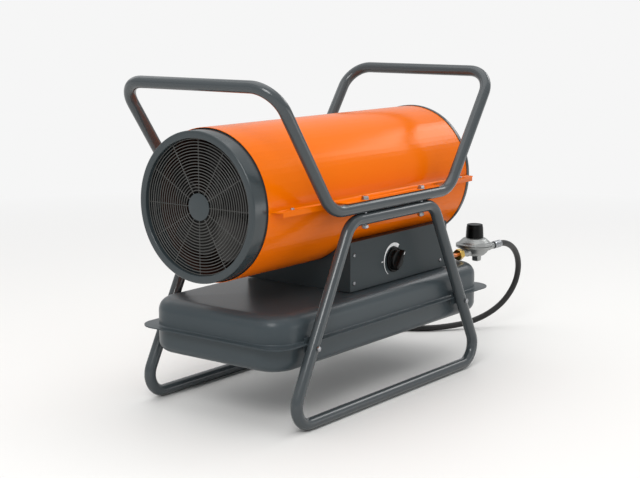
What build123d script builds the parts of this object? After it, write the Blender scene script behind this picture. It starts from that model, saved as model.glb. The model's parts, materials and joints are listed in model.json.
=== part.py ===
"""Forced air gas heater: a two-shell barrel with its fan and burner in a bent tube frame, over a
stamped base tank, with a control box, a gas regulator and the regulator's hose.

Millimetres. +X runs along the barrel from the intake to the outlet, +Z is up, and the control
panel faces -Y. The origin is on the floor, under the middle of the heater without its hose.
"""

import os
from math import cos, pi, radians, sin, sqrt, tan

from build123d import *

os.makedirs("parts", exist_ok=True)

# ---- sizes set by themselves -----------------------------------------------------------------
SEAT = 0.3              # gap between curved pieces that rest on each other
FIT = 0.06              # radial running clearance of a turning shaft
HOLE_PLAY = 0.3         # radial play of a screw in its hole

TUBE_R = 12.5           # frame tube, 25 mm outside
TRACK = 400.0           # middle to middle of the two side frames
RAIL_Z = 428.0          # handle frame's side rails
RAIL_LENGTH = 434.0
RAIL_BEND = 70.0
GRIP_Z = 683.0          # the two carrying bars
GRIP_SPAN = 790.0
GRIP_BEND = 58.0
LEG_TOP_LENGTH = 308.0
LEG_FOOT_LENGTH = 716.0
LEG_TOP_BEND = 48.0
LEG_FOOT_BEND = 42.0
BOLT_SPACING = 208.0    # frame bolts along each rail
BOLT_R = 4.0
BOLT_FLATS = 13.0
BOLT_HEAD = 5.3
BOLT_NUT = 6.5
BOLT_TAIL = 1.5         # thread below the nut
HEAD_TAPER = 15.0       # slope of the round screw heads' sides, in degrees
WASHER_R = 8.5
WASHER = 1.4

SHEET = 1.0             # barrel, control box and panel
SHELL_R = 155.5
SHELL_FRONT = -358.5    # shell ends, from the middle of the frame
SHELL_REAR = 374.0
FLANGE_OUT = 23.0       # side flange beyond the shell, clear of the rails
FLANGE_LIP = 10.0       # turned down edge of the lower shell's flange
FLANGE_FRONT_GAP = 6.5  # from the shell's front end to its flange
FLANGE_REAR_GAP = 3.0   # from the flange to the outlet ring
FLANGE_ROUND = 9.0
FLANGE_ON_RAIL = 6.5    # flange past the rail's crown, where it lies on the rail
RAIL_STRETCH = 352.0    # length of the stretch that lies on the rail
FLANGE_SCREW_IN = 48.0  # flange screws, from the flange's ends
FLANGE_SCREW_EDGE = 9.0
SCREW_R = 2.5
SCREW_HEAD_R = 4.6
SCREW_HEAD = 3.0
SCREW_NUT_FLATS = 8.0
SCREW_NUT = 4.0

COLLAR_STEP_IN = 3.5    # its shown part is this much narrower than the shells
COLLAR_SHEET = 1.2
COLLAR_FACE = 15.5      # width of its face ring
COLLAR_DEPTH = 38.5     # shows in front of the shells
COLLAR_TUCK = 22.0      # slides inside the shells
COLLAR_STEP = 5.0       # length of the step from the shown to the tucked part
COLLAR_ROUND = 5.0
COLLAR_RETURN = 14.0    # inner edge, turned back to hold the guard
OUTLET_SHEET = 1.2
OUTLET_WRAP = 9.0       # along the shells
OUTLET_FACE = 9.0       # across their ends

GUARD_RINGS = 18
GUARD_SPOKES = 12
GUARD_WIRE = 2.0
GUARD_WELD = 0.4        # depth of a spoke's weld into the rings
GUARD_SIDES = 24        # of each ring, as drawn here
GUARD_FIRST_R = 33.5
GUARD_DISC_R = 27.5
GUARD_SET_BACK = 9.0    # behind the collar's front face

FAN_SET_BACK = 60.0     # middle of the fan, behind the collar's front face
FAN_MARGIN = 14.5       # from the blade tips out to the collar's opening
FAN_BLADES = 5
FAN_HUB_R = 24.0
FAN_HUB_LENGTH = 26.0
BLADE_SHEET = 1.6
BLADE_ROOT_IN = 4.0     # inside the hub
BLADE_TIP_OVER = 2.0    # past the tips, before they are cut to the fan's circle
BLADE_TIP_ROUND = 26.0  # of a blade's two outer corners
BLADE_ROOT_CHORD = 40.0
BLADE_MIDDLE_CHORD = 78.0
BLADE_TIP_CHORD = 96.0
BLADE_ROOT_PITCH = 46.0
BLADE_MIDDLE_PITCH = 32.0
BLADE_TIP_PITCH = 23.0
MOTOR_R = 46.0
MOTOR_LENGTH = 96.0
MOTOR_CAP = 8.0         # end caps, stepped down from the housing
MOTOR_BEARING_R = 15.3
MOTOR_BEARING = 4.0
MOTOR_SHAFT_R = 5.0
MOTOR_SHAFT_IN = 34.0   # inside the motor
MOTOR_GAP = 8.0         # fan hub to motor
BRACKET_ARMS = 3
BRACKET_SHEET = 2.5
BRACKET_WIDTH = 22.0
BRACKET_BAND = 5.0
FOOT_WIDTH = 34.0       # of the curved feet, across their arms

CHAMBER_FRONT = -35.0
CHAMBER_LENGTH = 352.0
CHAMBER_R = 112.0
CHAMBER_HOLE_R = 36.0
CHAMBER_AIR_HOLES = 12
CHAMBER_AIR_HOLE_R = 7.0
CHAMBER_AIR_CIRCLE_R = 82.0
CHAMBER_ARMS = 3
CHAMBER_ARM_IN = 40.0   # brackets, from the chamber's ends
BURNER_X = -58.0
BURNER_R = 14.0
BURNER_CONE = 7.0       # length of its cone in front of the flange
BURNER_FLANGE_R = 46.0
BURNER_FLANGE = 2.0
BURNER_CUP_R = 32.0
BURNER_CUP_LENGTH = 30.0
BURNER_BOSS_R = 8.0
BURNER_BOSS = 22.0      # from the burner's axis down to the pipe
BURNER_PIPE_R = 4.0
BURNER_PIPE_BEND = 22.0
BURNER_PIPE_Z = 262.0
BURNER_PIPE_PLAY = 1.0
SPREADER_R = 74.0
SPREADER_FLAT_R = 33.3
SPREADER_DISH = 14.8    # its edge lies this much nearer to the burner
SPREADER_SHEET = 1.5
SPREADER_OFF = 92.0     # from the chamber's front wall
SPREADER_ROD_R = 2.5
SPREADER_ROD_CIRCLE_R = 62.0
PROBE_CIRCLE_R = 56.0   # both probes pass the front wall here, from these places before it
CERAMIC_R = 4.0
ELECTRODE_R = 1.25
ELECTRODE_FRONT = 34.0
ELECTRODE_REAR = 34.0
ELECTRODE_SLEEVE_FRONT = 24.0
ELECTRODE_SLEEVE_REAR = 16.0
SENSOR_R = 2.5
SENSOR_FRONT = 30.0
SENSOR_REAR = 40.0
SENSOR_SLEEVE_FRONT = 12.0
SENSOR_SLEEVE_REAR = 8.0
THERMOSTAT_R = 9.0
THERMOSTAT_EARS = 32.4
THERMOSTAT_X = 200.0

TANK_FRONT = -359.5
TANK_REAR = 417.5
TANK_IN = 22.0          # from the legs' middle line in to the tank's side
TANK_BOTTOM = 115.5
TANK_SEAM = 174.0
TANK_TOP = 235.0
TANK_SHEET = 1.2
TANK_CORNER = 62.0
TANK_TOP_ROUND = 27.0
TANK_BOTTOM_ROUND = 22.0
TANK_LIP = 17.0         # seam flange beyond the body
TANK_LIP_CORNER = 46.0
LEG_SCREW_Z = 165.5
LEG_SCREW_R = 3.0
LEG_SCREW_FLATS = 10.0
LEG_SCREW_HEAD = 4.0
LEG_SCREW_NUT = 4.5
LEG_BRACKET = 2.0
LEG_BRACKET_WIDTH = 30.0
LEG_BRACKET_DROP = 18.0 # below and above the seam
LEG_BRACKET_RISE = 11.0
LEG_NOTCH = 34.0

BOX_FRONT = -75.0
BOX_REAR = 302.0
BOX_WIDTH = 282.8       # without the panel
BOX_TOP = 341.6
BOX_GAP = 0.7           # saddle to barrel
PANEL_RETURN = 12.0     # edge left round the box's open side, above and below
PANEL_END_RETURN = 34.0
PANEL_ROUND = 3.0
PANEL_SCREW_FRONT = 13.5    # from the panel's ends
PANEL_SCREW_REAR = 26.0
PANEL_SCREW_Z = (252.5, 313.0)
PANEL_SCREW_R = 2.0
PANEL_SCREW_HEAD_R = 4.2
PANEL_SCREW_HEAD = 2.6
PANEL_SCREW_LENGTH = 9.0
KNOB_X = 86.0
KNOB_Z = 283.0
KNOB_R = 28.0           # of its skirt
KNOB_SKIRT = 4.0
KNOB_BODY_R = 22.0
KNOB_BODY = 12.0        # from the skirt's back to the body's front
KNOB_LENGTH = 21.0
KNOB_GRIP = 11.0
KNOB_GRIP_LENGTH = 50.0
KNOB_SKIRT_TAPER = 8.0  # degrees
KNOB_GRIP_TAPER = 3.0   # degrees
KNOB_BORE = 14.0
KNOB_GAP = 1.0
KNOB_TURN = 35.0        # pointer at rest, clockwise from straight up
SPINDLE_R = 3.0
SPINDLE_IN_VALVE = 18.0
SPINDLE_PLAY = 1.0      # in the panel's hole
VALVE_LENGTH = 44.0
VALVE_ROUND = 4.0
VALVE_DEPTH = 38.0
VALVE_BOTTOM = 238.0
VALVE_TOP = 306.0
VALVE_COLLAR_R = 9.0
VALVE_COLLAR = 4.4
TRANSFORMER_X = 240.0
TRANSFORMER_Y = 30.0
TRANSFORMER_LENGTH = 46.0
TRANSFORMER_WIDTH = 54.0
TRANSFORMER_HEIGHT = 36.0
TRANSFORMER_EDGE = 3.0
TRANSFORMER_FOOT = 2.0
TRANSFORMER_FOOT_LENGTH = 70.0
TRANSFORMER_FOOT_WIDTH = 30.0
TERMINAL_X = 170.0
TERMINAL_Y = -40.0
TERMINALS = 5
TERMINAL_PITCH = 12.0
TERMINAL_LENGTH = 9.0
TERMINAL_WIDTH = 14.0
TERMINAL_HEIGHT = 16.0
TERMINAL_BASE_WIDTH = 18.0
TERMINAL_BASE = 8.0
GLAND_R = 8.0
GLAND_Y = 62.0
GLAND_Z = 262.0
GLAND_FLATS = 19.0
GLAND_BORE_R = 4.0
GLAND_INSIDE = 8.0
GLAND_OUTSIDE = 18.0
GLAND_HEX = 6.0
GLAND_DOME = 7.2
GLAND_DOME_WALL = 2.0

GAS_Y = -126.0          # line of the inlet pipe, the union nut and the regulator
GAS_Z = 247.5
GAS_PIPE_R = 6.0
GROMMET_R = 10.0
GROMMET_WIDTH = 6.0
UNION_X = 386.0
UNION_LENGTH = 16.0
UNION_FLATS = 24.0
STUB_R = 8.5
REG_X = 457.0
REG_R = 45.0
REG_FLOOR_R = 22.5      # flat bottom of the lower casting
REG_RISE = 13.5         # diaphragm joint above the gas line
REG_RIM = 3.0
REG_BOWL = 11.0         # bottom of the lower casting below the gas line
REG_CHAMBER_R = 34.0
REG_CHAMBER = 7.0
REG_BOSS = 18.0
REG_BOSS_ROUND = 2.0
REG_BOSS_X = 468.0
REG_BOSS_DROP = 27.0
BONNET_HEIGHT = 19.0
BONNET_NECK_R = 17.0
BONNET_WALL = 3.0
BONNET_STEP = 1.0       # slope of the rim's top
DIAPHRAGM = 1.0
NOZZLE_END = 548.0
NOZZLE_R = 6.5
NOZZLE_ROOT_R = 11.0
NOZZLE_HEX_X = 524.0
NOZZLE_HEX = 9.0
NOZZLE_HEX_FLATS = 17.0
CAP_R = 21.5
CAP_TOP_R = 19.5
CAP_HEIGHT = 31.0
CAP_EDGE = 2.0
CAP_BORE = 20.0
CAP_GAP = 0.8
CAP_SCREW_R = 6.0
CAP_SCREW_BELOW = 4.0   # inside the bonnet

HOSE_R = 7.5
HOSE_SIDES = 8          # of its section, as drawn here
HOSE_BEND_SHARE = 0.45  # of a run, taken by the arc at each of its ends
FERRULE_R = 9.3
FERRULE_LENGTH = 30.0
FERRULE_GROOVE = 0.8
COIL_R = 88.0           # middle of the first turn
COIL_X = 372.0
COIL_Y = 318.0
COIL_STEP = 16.5        # each turn beside and above the last
COIL_TURNS_IN = 1.5
COIL_TURNS = 2.0
COIL_CLIMB = 0.5        # of a turn, from the first layer to the second
CONNECTOR_FLATS = 27.0
CONNECTOR_LENGTH = 22.0
CONNECTOR_BORE_R = 10.9
CONNECTOR_DEPTH = 14.0

# ---- sizes that follow -----------------------------------------------------------------------
# the frame's middle, with the front grip and the regulator's nozzle equally far from the origin
FRAME_X = (GRIP_SPAN / 2 + TUBE_R - NOZZLE_END) / 2
SIDE_Y = TRACK / 2
FOOT_Z = TUBE_R
LEG_TOP_Z = RAIL_Z - 2 * TUBE_R - SEAT
BARREL_Z = RAIL_Z + TUBE_R + SEAT + SHEET       # height of the barrel's axis and of its joint
BARREL_AXIS = Axis((0, 0, BARREL_Z), (1, 0, 0))
COLLAR_R = SHELL_R - COLLAR_STEP_IN
COLLAR_OPENING_R = COLLAR_R - COLLAR_FACE
FAN_R = COLLAR_OPENING_R - FAN_MARGIN
FLANGE_Y = SHELL_R + FLANGE_OUT
FLANGE_FRONT = SHELL_FRONT + FLANGE_FRONT_GAP
FLANGE_REAR = SHELL_REAR - OUTLET_WRAP - FLANGE_REAR_GAP
COLLAR_FRONT = SHELL_FRONT - COLLAR_DEPTH
GUARD_X = COLLAR_FRONT + GUARD_SET_BACK
FAN_X = COLLAR_FRONT + FAN_SET_BACK
MOTOR_FRONT = FAN_X + FAN_HUB_LENGTH / 2 + MOTOR_GAP
TANK_X = (TANK_FRONT + TANK_REAR) / 2
TANK_LENGTH = TANK_REAR - TANK_FRONT
TANK_WIDTH = TRACK - 2 * TANK_IN
NOTCH_Y = SIDE_Y - TUBE_R - SEAT - LEG_BRACKET  # seam flange's edge behind the leg brackets
BOX_SIDE = BOX_WIDTH / 2
BOX_LENGTH = BOX_REAR - BOX_FRONT
PANEL_Y = -BOX_SIDE - SHEET                     # the panel's outer face
VALVE_FRONT = -BOX_SIDE + VALVE_COLLAR
VALVE_Y = VALVE_FRONT + VALVE_DEPTH / 2
JOINT_Z = GAS_Z + REG_RISE
BONNET_TOP = JOINT_Z + BONNET_HEIGHT
CAP_Z = BONNET_TOP + CAP_GAP


def along(x):
    """A place along the barrel, given from the middle of the frame."""
    return FRAME_X + x


def barrel_plane(x):
    """The plane across the barrel at x, with its middle on the barrel's axis."""
    return Plane(origin=(along(x), 0, BARREL_Z), x_dir=(0, 1, 0), z_dir=(1, 0, 0))


def profile_plane(x, y, z):
    """The upright plane along X in which turned pieces are drawn; its own y is up."""
    return Plane(origin=(along(x), y, z), x_dir=(1, 0, 0), z_dir=(0, -1, 0))


def finish(piece, name):
    """Label a finished piece and write it."""
    piece.part.label = name
    export_step(piece.part, f"parts/{name}.step")


# ---- tube frame ------------------------------------------------------------------------------
leg_lean = (LEG_FOOT_LENGTH - LEG_TOP_LENGTH) / 2 / (LEG_TOP_Z - FOOT_Z)
leg_screw_x = LEG_FOOT_LENGTH / 2 - (LEG_SCREW_Z - FOOT_Z) * leg_lean
bolt_places = [
    (along(side * BOLT_SPACING / 2), y) for side in (-1, 1) for y in (-SIDE_Y, SIDE_Y)
]

# one quarter of the loop, from the middle of a rail to the middle of a carrying bar
with BuildPart() as handle_frame:
    with BuildLine():
        FilletPolyline(
            (along(0), -SIDE_Y, RAIL_Z),
            (along(RAIL_LENGTH / 2), -SIDE_Y, RAIL_Z),
            (along(GRIP_SPAN / 2), -SIDE_Y, GRIP_Z),
            (along(GRIP_SPAN / 2), 0, GRIP_Z),
            radius=(RAIL_BEND, GRIP_BEND),
        )
    with BuildSketch(Plane(origin=(along(0), -SIDE_Y, RAIL_Z), z_dir=(1, 0, 0))):
        Circle(TUBE_R)
    sweep()
    mirror(about=Plane.XZ)
    mirror(about=Plane.YZ.offset(FRAME_X))
    with Locations([(x, y, RAIL_Z) for x, y in bolt_places]):
        Cylinder(BOLT_R + HOLE_PLAY, 3 * TUBE_R, mode=Mode.SUBTRACT)
finish(handle_frame, "handle_frame")


def leg_frame(y):
    """A closed trapezium of tube at one side, drawn as one half and mirrored."""
    with BuildPart() as leg:
        with BuildLine():
            FilletPolyline(
                (along(0), y, LEG_TOP_Z),
                (along(LEG_TOP_LENGTH / 2), y, LEG_TOP_Z),
                (along(LEG_FOOT_LENGTH / 2), y, FOOT_Z),
                (along(0), y, FOOT_Z),
                radius=(LEG_TOP_BEND, LEG_FOOT_BEND),
            )
        with BuildSketch(Plane(origin=(along(0), y, LEG_TOP_Z), z_dir=(1, 0, 0))):
            Circle(TUBE_R)
        sweep()
        mirror(about=Plane.YZ.offset(FRAME_X))
        with Locations([(along(side * BOLT_SPACING / 2), y, LEG_TOP_Z) for side in (-1, 1)]):
            Cylinder(BOLT_R + HOLE_PLAY, 3 * TUBE_R, mode=Mode.SUBTRACT)
        with Locations([(along(side * leg_screw_x), y, LEG_SCREW_Z) for side in (-1, 1)]):
            Cylinder(
                LEG_SCREW_R + HOLE_PLAY, 3 * TUBE_R, rotation=(90, 0, 0), mode=Mode.SUBTRACT
            )
    return leg


finish(leg_frame(-SIDE_Y), "near_leg_frame")
finish(leg_frame(SIDE_Y), "far_leg_frame")

bolt_head_z = BARREL_Z + SHEET
nut_z = LEG_TOP_Z - TUBE_R - SEAT - BOLT_NUT
with BuildPart() as frame_bolts:
    with BuildSketch(Plane.XY.offset(nut_z - BOLT_TAIL)):
        with Locations(bolt_places):
            Circle(BOLT_R)
    extrude(amount=bolt_head_z + WASHER - nut_z + BOLT_TAIL)
    with BuildSketch(Plane.XY.offset(bolt_head_z)):
        with Locations(bolt_places):
            Circle(WASHER_R)
    extrude(amount=WASHER)
    with BuildSketch(Plane.XY.offset(bolt_head_z + WASHER)):
        with Locations(bolt_places):
            RegularPolygon(BOLT_FLATS / 2, 6, major_radius=False)
    extrude(amount=BOLT_HEAD)
finish(frame_bolts, "frame_bolts")

with BuildPart() as frame_nuts:
    with BuildSketch(Plane.XY.offset(nut_z)):
        with Locations(bolt_places):
            RegularPolygon(BOLT_FLATS / 2, 6, major_radius=False)
            Circle(BOLT_R, mode=Mode.SUBTRACT)
    extrude(amount=BOLT_NUT)
finish(frame_nuts, "frame_nuts")

# ---- barrel ----------------------------------------------------------------------------------
flange_middle = (FLANGE_FRONT + FLANGE_REAR) / 2
flange_length = FLANGE_REAR - FLANGE_FRONT
flange_screw_y = FLANGE_Y - FLANGE_SCREW_EDGE
flange_screw_places = [
    (along(x), y)
    for x in (FLANGE_FRONT + FLANGE_SCREW_IN, FLANGE_REAR - FLANGE_SCREW_IN)
    for y in (-flange_screw_y, flange_screw_y)
]


def flange_plan():
    """Both side flanges from above: wide on the rails, narrow beside the rising tubes."""
    with BuildSketch() as plan:
        with Locations((along(flange_middle), 0)):
            RectangleRounded(flange_length, 2 * FLANGE_Y, FLANGE_ROUND)
        with Locations((along(0), 0)):
            RectangleRounded(RAIL_STRETCH, 2 * (SIDE_Y + FLANGE_ON_RAIL), FLANGE_ROUND)
        with Locations((along(flange_middle), 0)):
            Rectangle(2 * flange_length, 2 * SHELL_R - SHEET, mode=Mode.SUBTRACT)
        with Locations(bolt_places):
            Circle(BOLT_R + HOLE_PLAY, mode=Mode.SUBTRACT)
        with Locations(flange_screw_places):
            Circle(SCREW_R + HOLE_PLAY, mode=Mode.SUBTRACT)
    return plan.sketch


def half_shell(upper):
    """Half of the barrel with its two flanges, which meet the other half's at the axis."""
    other_half = Align.MAX if upper else Align.MIN
    with BuildPart() as shell:
        with BuildSketch(barrel_plane(SHELL_FRONT)):
            Circle(SHELL_R)
            Circle(SHELL_R - SHEET, mode=Mode.SUBTRACT)
            Rectangle(
                3 * SHELL_R, 2 * SHELL_R, align=(Align.CENTER, other_half), mode=Mode.SUBTRACT
            )
        extrude(amount=SHELL_REAR - SHELL_FRONT)
        with BuildSketch(Plane.XY.offset(BARREL_Z)):
            add(flange_plan())
        extrude(amount=SHEET if upper else -SHEET)
    return shell


upper_shell = half_shell(True)
finish(upper_shell, "upper_shell")

# the lower flange's edge is turned down in front of and behind the rails
lip_ends = (
    (FLANGE_FRONT + FLANGE_ROUND, -RAIL_STRETCH / 2),
    (RAIL_STRETCH / 2, FLANGE_REAR - FLANGE_ROUND),
)
lower_shell = half_shell(False)
with lower_shell:
    for lip_front, lip_rear in lip_ends:
        with Locations([(along(lip_front), y, BARREL_Z) for y in (-FLANGE_Y, FLANGE_Y - SHEET)]):
            Box(
                lip_rear - lip_front, SHEET, FLANGE_LIP, align=(Align.MIN, Align.MIN, Align.MAX)
            )
    with Locations((along(BURNER_X), 0, BARREL_Z - SHELL_R)):
        Cylinder(BURNER_PIPE_R + BURNER_PIPE_PLAY, 10 * SHEET, mode=Mode.SUBTRACT)
finish(lower_shell, "lower_shell")

flange_nut_z = BARREL_Z - SHEET - SCREW_NUT
with BuildPart() as flange_screws:
    with BuildSketch(Plane.XY.offset(flange_nut_z - BOLT_TAIL)):
        with Locations(flange_screw_places):
            Circle(SCREW_R)
    extrude(amount=bolt_head_z - flange_nut_z + BOLT_TAIL)
    with BuildSketch(Plane.XY.offset(bolt_head_z)):
        with Locations(flange_screw_places):
            Circle(SCREW_HEAD_R)
    extrude(amount=SCREW_HEAD, taper=HEAD_TAPER)
finish(flange_screws, "flange_screws")

with BuildPart() as flange_nuts:
    with BuildSketch(Plane.XY.offset(flange_nut_z)):
        with Locations(flange_screw_places):
            RegularPolygon(SCREW_NUT_FLATS / 2, 6, major_radius=False)
            Circle(SCREW_R, mode=Mode.SUBTRACT)
    extrude(amount=SCREW_NUT)
finish(flange_nuts, "flange_nuts")

# the collar steps out behind its shown part, to sit in the shells
shell_seat_r = SHELL_R - SHEET - SEAT
round_in = COLLAR_ROUND * (1 - cos(pi / 4))     # its rounded edge is drawn as two chords
with BuildPart() as intake_collar:
    with BuildSketch(profile_plane(COLLAR_FRONT, 0, BARREL_Z)):
        with BuildLine():
            Polyline(
                (COLLAR_RETURN, COLLAR_OPENING_R),
                (COLLAR_SHEET, COLLAR_OPENING_R),
                (0, COLLAR_OPENING_R + COLLAR_SHEET),
                (0, COLLAR_R - COLLAR_ROUND),
                (round_in, COLLAR_R - round_in),
                (COLLAR_ROUND, COLLAR_R),
                (COLLAR_DEPTH, COLLAR_R),
                (COLLAR_DEPTH + COLLAR_STEP, shell_seat_r),
                (COLLAR_DEPTH + COLLAR_TUCK, shell_seat_r),
            )
            offset(amount=-COLLAR_SHEET, side=Side.RIGHT, kind=Kind.INTERSECTION, closed=True)
        make_face()
    revolve(axis=BARREL_AXIS)
finish(intake_collar, "intake_collar")

outlet_inner_r = SHELL_R + SEAT
outlet_outer_r = outlet_inner_r + OUTLET_SHEET
with BuildPart() as outlet_ring:
    with BuildSketch(profile_plane(SHELL_REAR, 0, BARREL_Z)):
        with BuildLine():
            Polyline(
                (-OUTLET_WRAP, outlet_inner_r),
                (-OUTLET_WRAP, outlet_outer_r),
                (SEAT, outlet_outer_r),
                (SEAT + OUTLET_SHEET, outlet_outer_r - OUTLET_SHEET),
                (SEAT + OUTLET_SHEET, outlet_outer_r - OUTLET_FACE),
                (SEAT, outlet_outer_r - OUTLET_FACE),
                (SEAT, outlet_inner_r),
                close=True,
            )
        make_face()
    revolve(axis=BARREL_AXIS)
finish(outlet_ring, "outlet_ring")

# ---- finger guard ----------------------------------------------------------------------------
guard_last_r = COLLAR_OPENING_R - SEAT - GUARD_WIRE / 2
guard_pitch = (guard_last_r - GUARD_FIRST_R) / (GUARD_RINGS - 1)
spoke_length = guard_last_r - GUARD_DISC_R + GUARD_WIRE / 2
with BuildPart() as finger_guard:
    with BuildSketch(barrel_plane(GUARD_X)):
        for ring in range(GUARD_RINGS):
            ring_r = guard_last_r - ring * guard_pitch
            RegularPolygon(ring_r + GUARD_WIRE / 2, GUARD_SIDES)
            RegularPolygon(ring_r - GUARD_WIRE / 2, GUARD_SIDES, mode=Mode.SUBTRACT)
    extrude(amount=GUARD_WIRE)
    with BuildSketch(barrel_plane(GUARD_X + GUARD_WIRE - GUARD_WELD)):
        with PolarLocations(GUARD_DISC_R - GUARD_WIRE / 2, GUARD_SPOKES):
            Rectangle(spoke_length, GUARD_WIRE, align=(Align.MIN, Align.CENTER))
    extrude(amount=GUARD_WIRE)
    with BuildSketch(barrel_plane(GUARD_X + GUARD_WIRE / 2)):
        Circle(GUARD_DISC_R)
    extrude(amount=GUARD_WIRE)
finish(finger_guard, "finger_guard")

# ---- fan and motor ---------------------------------------------------------------------------
def blade_section(r, chord, pitch):
    """The blade's flat section at radius r above the axis, turned to its pitch."""
    plane = Plane(origin=(along(FAN_X), 0, BARREL_Z + r), x_dir=(0, 1, 0), z_dir=(0, 0, 1))
    with BuildSketch(plane) as section:
        Rectangle(chord, BLADE_SHEET, rotation=pitch)
    return section.sketch


blade_tip_r = FAN_R + BLADE_TIP_OVER
with BuildPart() as blade:
    add(blade_section(FAN_HUB_R - BLADE_ROOT_IN, BLADE_ROOT_CHORD, BLADE_ROOT_PITCH))
    add(blade_section((FAN_HUB_R + FAN_R) / 2, BLADE_MIDDLE_CHORD, BLADE_MIDDLE_PITCH))
    add(blade_section(blade_tip_r, BLADE_TIP_CHORD, BLADE_TIP_PITCH))
    loft()
    # the two outer corners are rounded, across the twisted sheet
    tip_width = BLADE_TIP_CHORD * cos(radians(BLADE_TIP_PITCH))
    with BuildSketch(barrel_plane(FAN_X)):
        RectangleRounded(tip_width, 2 * blade_tip_r, BLADE_TIP_ROUND)
    extrude(amount=FAN_R, both=True, mode=Mode.INTERSECT)
blade_step = 360 / FAN_BLADES

with BuildPart() as fan_rotor:
    with BuildSketch(barrel_plane(FAN_X - FAN_HUB_LENGTH / 2)):
        Circle(FAN_HUB_R)
    extrude(amount=FAN_HUB_LENGTH)
    for i in range(FAN_BLADES):
        add(blade.part.rotate(BARREL_AXIS, i * blade_step))
    with BuildSketch(barrel_plane(FAN_X - FAN_R)):
        Circle(FAN_R)
    extrude(amount=2 * FAN_R, mode=Mode.INTERSECT)
    with BuildSketch(barrel_plane(FAN_X - FAN_HUB_LENGTH)):
        Circle(MOTOR_SHAFT_R)
    extrude(amount=2 * FAN_HUB_LENGTH, mode=Mode.SUBTRACT)
finish(fan_rotor, "fan_rotor")

shaft_length = FAN_HUB_LENGTH + MOTOR_GAP + MOTOR_SHAFT_IN
with BuildPart() as motor_shaft:
    with BuildSketch(barrel_plane(FAN_X - FAN_HUB_LENGTH / 2)):
        Circle(MOTOR_SHAFT_R)
    extrude(amount=shaft_length)
finish(motor_shaft, "motor_shaft")

with BuildPart() as fan_motor:
    with BuildSketch(profile_plane(MOTOR_FRONT, 0, BARREL_Z)):
        with BuildLine():
            Polyline(
                (0, 0),
                (0, MOTOR_BEARING_R),
                (MOTOR_BEARING, MOTOR_BEARING_R),
                (MOTOR_BEARING, MOTOR_R - MOTOR_CAP),
                (MOTOR_CAP, MOTOR_R),
                (MOTOR_LENGTH - MOTOR_CAP, MOTOR_R),
                (MOTOR_LENGTH, MOTOR_R - MOTOR_CAP),
                (MOTOR_LENGTH, 0),
                close=True,
            )
        make_face()
    revolve(axis=BARREL_AXIS)
    with BuildSketch(barrel_plane(MOTOR_FRONT)):
        Circle(MOTOR_SHAFT_R + FIT)
    extrude(amount=MOTOR_SHAFT_IN + SEAT, mode=Mode.SUBTRACT)
finish(fan_motor, "fan_motor")


def ring_feet(x, length, outer_r, sheet, width, count):
    """Feet bent to a circle round the barrel's axis, the first of them on top."""
    with BuildPart() as feet:
        with BuildSketch(barrel_plane(x)):
            Circle(outer_r)
            Circle(outer_r - sheet, mode=Mode.SUBTRACT)
        extrude(amount=length)
        with BuildSketch(barrel_plane(x)):
            with PolarLocations(0, count, start_angle=90):
                Rectangle(2 * outer_r, width, align=(Align.MIN, Align.CENTER))
        extrude(amount=length, mode=Mode.INTERSECT)
    return feet.part


bracket_x = MOTOR_FRONT + (MOTOR_LENGTH - BRACKET_WIDTH) / 2
arm_length = shell_seat_r - BRACKET_SHEET / 2
with BuildPart() as motor_bracket:
    with BuildSketch(barrel_plane(bracket_x)):
        Circle(MOTOR_R + SEAT + BRACKET_BAND)
        with PolarLocations(0, BRACKET_ARMS, start_angle=90):
            Rectangle(arm_length, BRACKET_WIDTH, align=(Align.MIN, Align.CENTER))
        Circle(MOTOR_R + SEAT, mode=Mode.SUBTRACT)
    extrude(amount=BRACKET_SHEET)
    add(ring_feet(bracket_x, BRACKET_WIDTH, shell_seat_r, BRACKET_SHEET, FOOT_WIDTH, BRACKET_ARMS))
finish(motor_bracket, "motor_bracket")

# ---- burner and combustion chamber -----------------------------------------------------------
with BuildPart() as combustion_chamber:
    with BuildSketch(barrel_plane(CHAMBER_FRONT)):
        Circle(CHAMBER_R)
    extrude(amount=CHAMBER_LENGTH)
    with BuildSketch(barrel_plane(CHAMBER_FRONT + SHEET)):
        Circle(CHAMBER_R - SHEET)
    extrude(amount=CHAMBER_LENGTH, mode=Mode.SUBTRACT)
    with BuildSketch(barrel_plane(CHAMBER_FRONT)):
        Circle(CHAMBER_HOLE_R)
        with PolarLocations(CHAMBER_AIR_CIRCLE_R, CHAMBER_AIR_HOLES):
            Circle(CHAMBER_AIR_HOLE_R)
        with PolarLocations(PROBE_CIRCLE_R, 2):
            Circle(CERAMIC_R + HOLE_PLAY)
    extrude(amount=SHEET, mode=Mode.SUBTRACT)
finish(combustion_chamber, "combustion_chamber")

chamber_seat_r = CHAMBER_R + SEAT
with BuildPart() as chamber_brackets:
    for x in (CHAMBER_FRONT + CHAMBER_ARM_IN, CHAMBER_FRONT + CHAMBER_LENGTH - CHAMBER_ARM_IN):
        for outer_r in (shell_seat_r, chamber_seat_r + BRACKET_SHEET):
            add(ring_feet(x, BRACKET_WIDTH, outer_r, BRACKET_SHEET, FOOT_WIDTH, CHAMBER_ARMS))
        with BuildSketch(barrel_plane(x)):
            with PolarLocations(chamber_seat_r + BRACKET_SHEET / 2, CHAMBER_ARMS, start_angle=90):
                Rectangle(
                    shell_seat_r - chamber_seat_r - BRACKET_SHEET,
                    BRACKET_SHEET,
                    align=(Align.MIN, Align.CENTER),
                )
        extrude(amount=BRACKET_WIDTH)
finish(chamber_brackets, "chamber_brackets")

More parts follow.
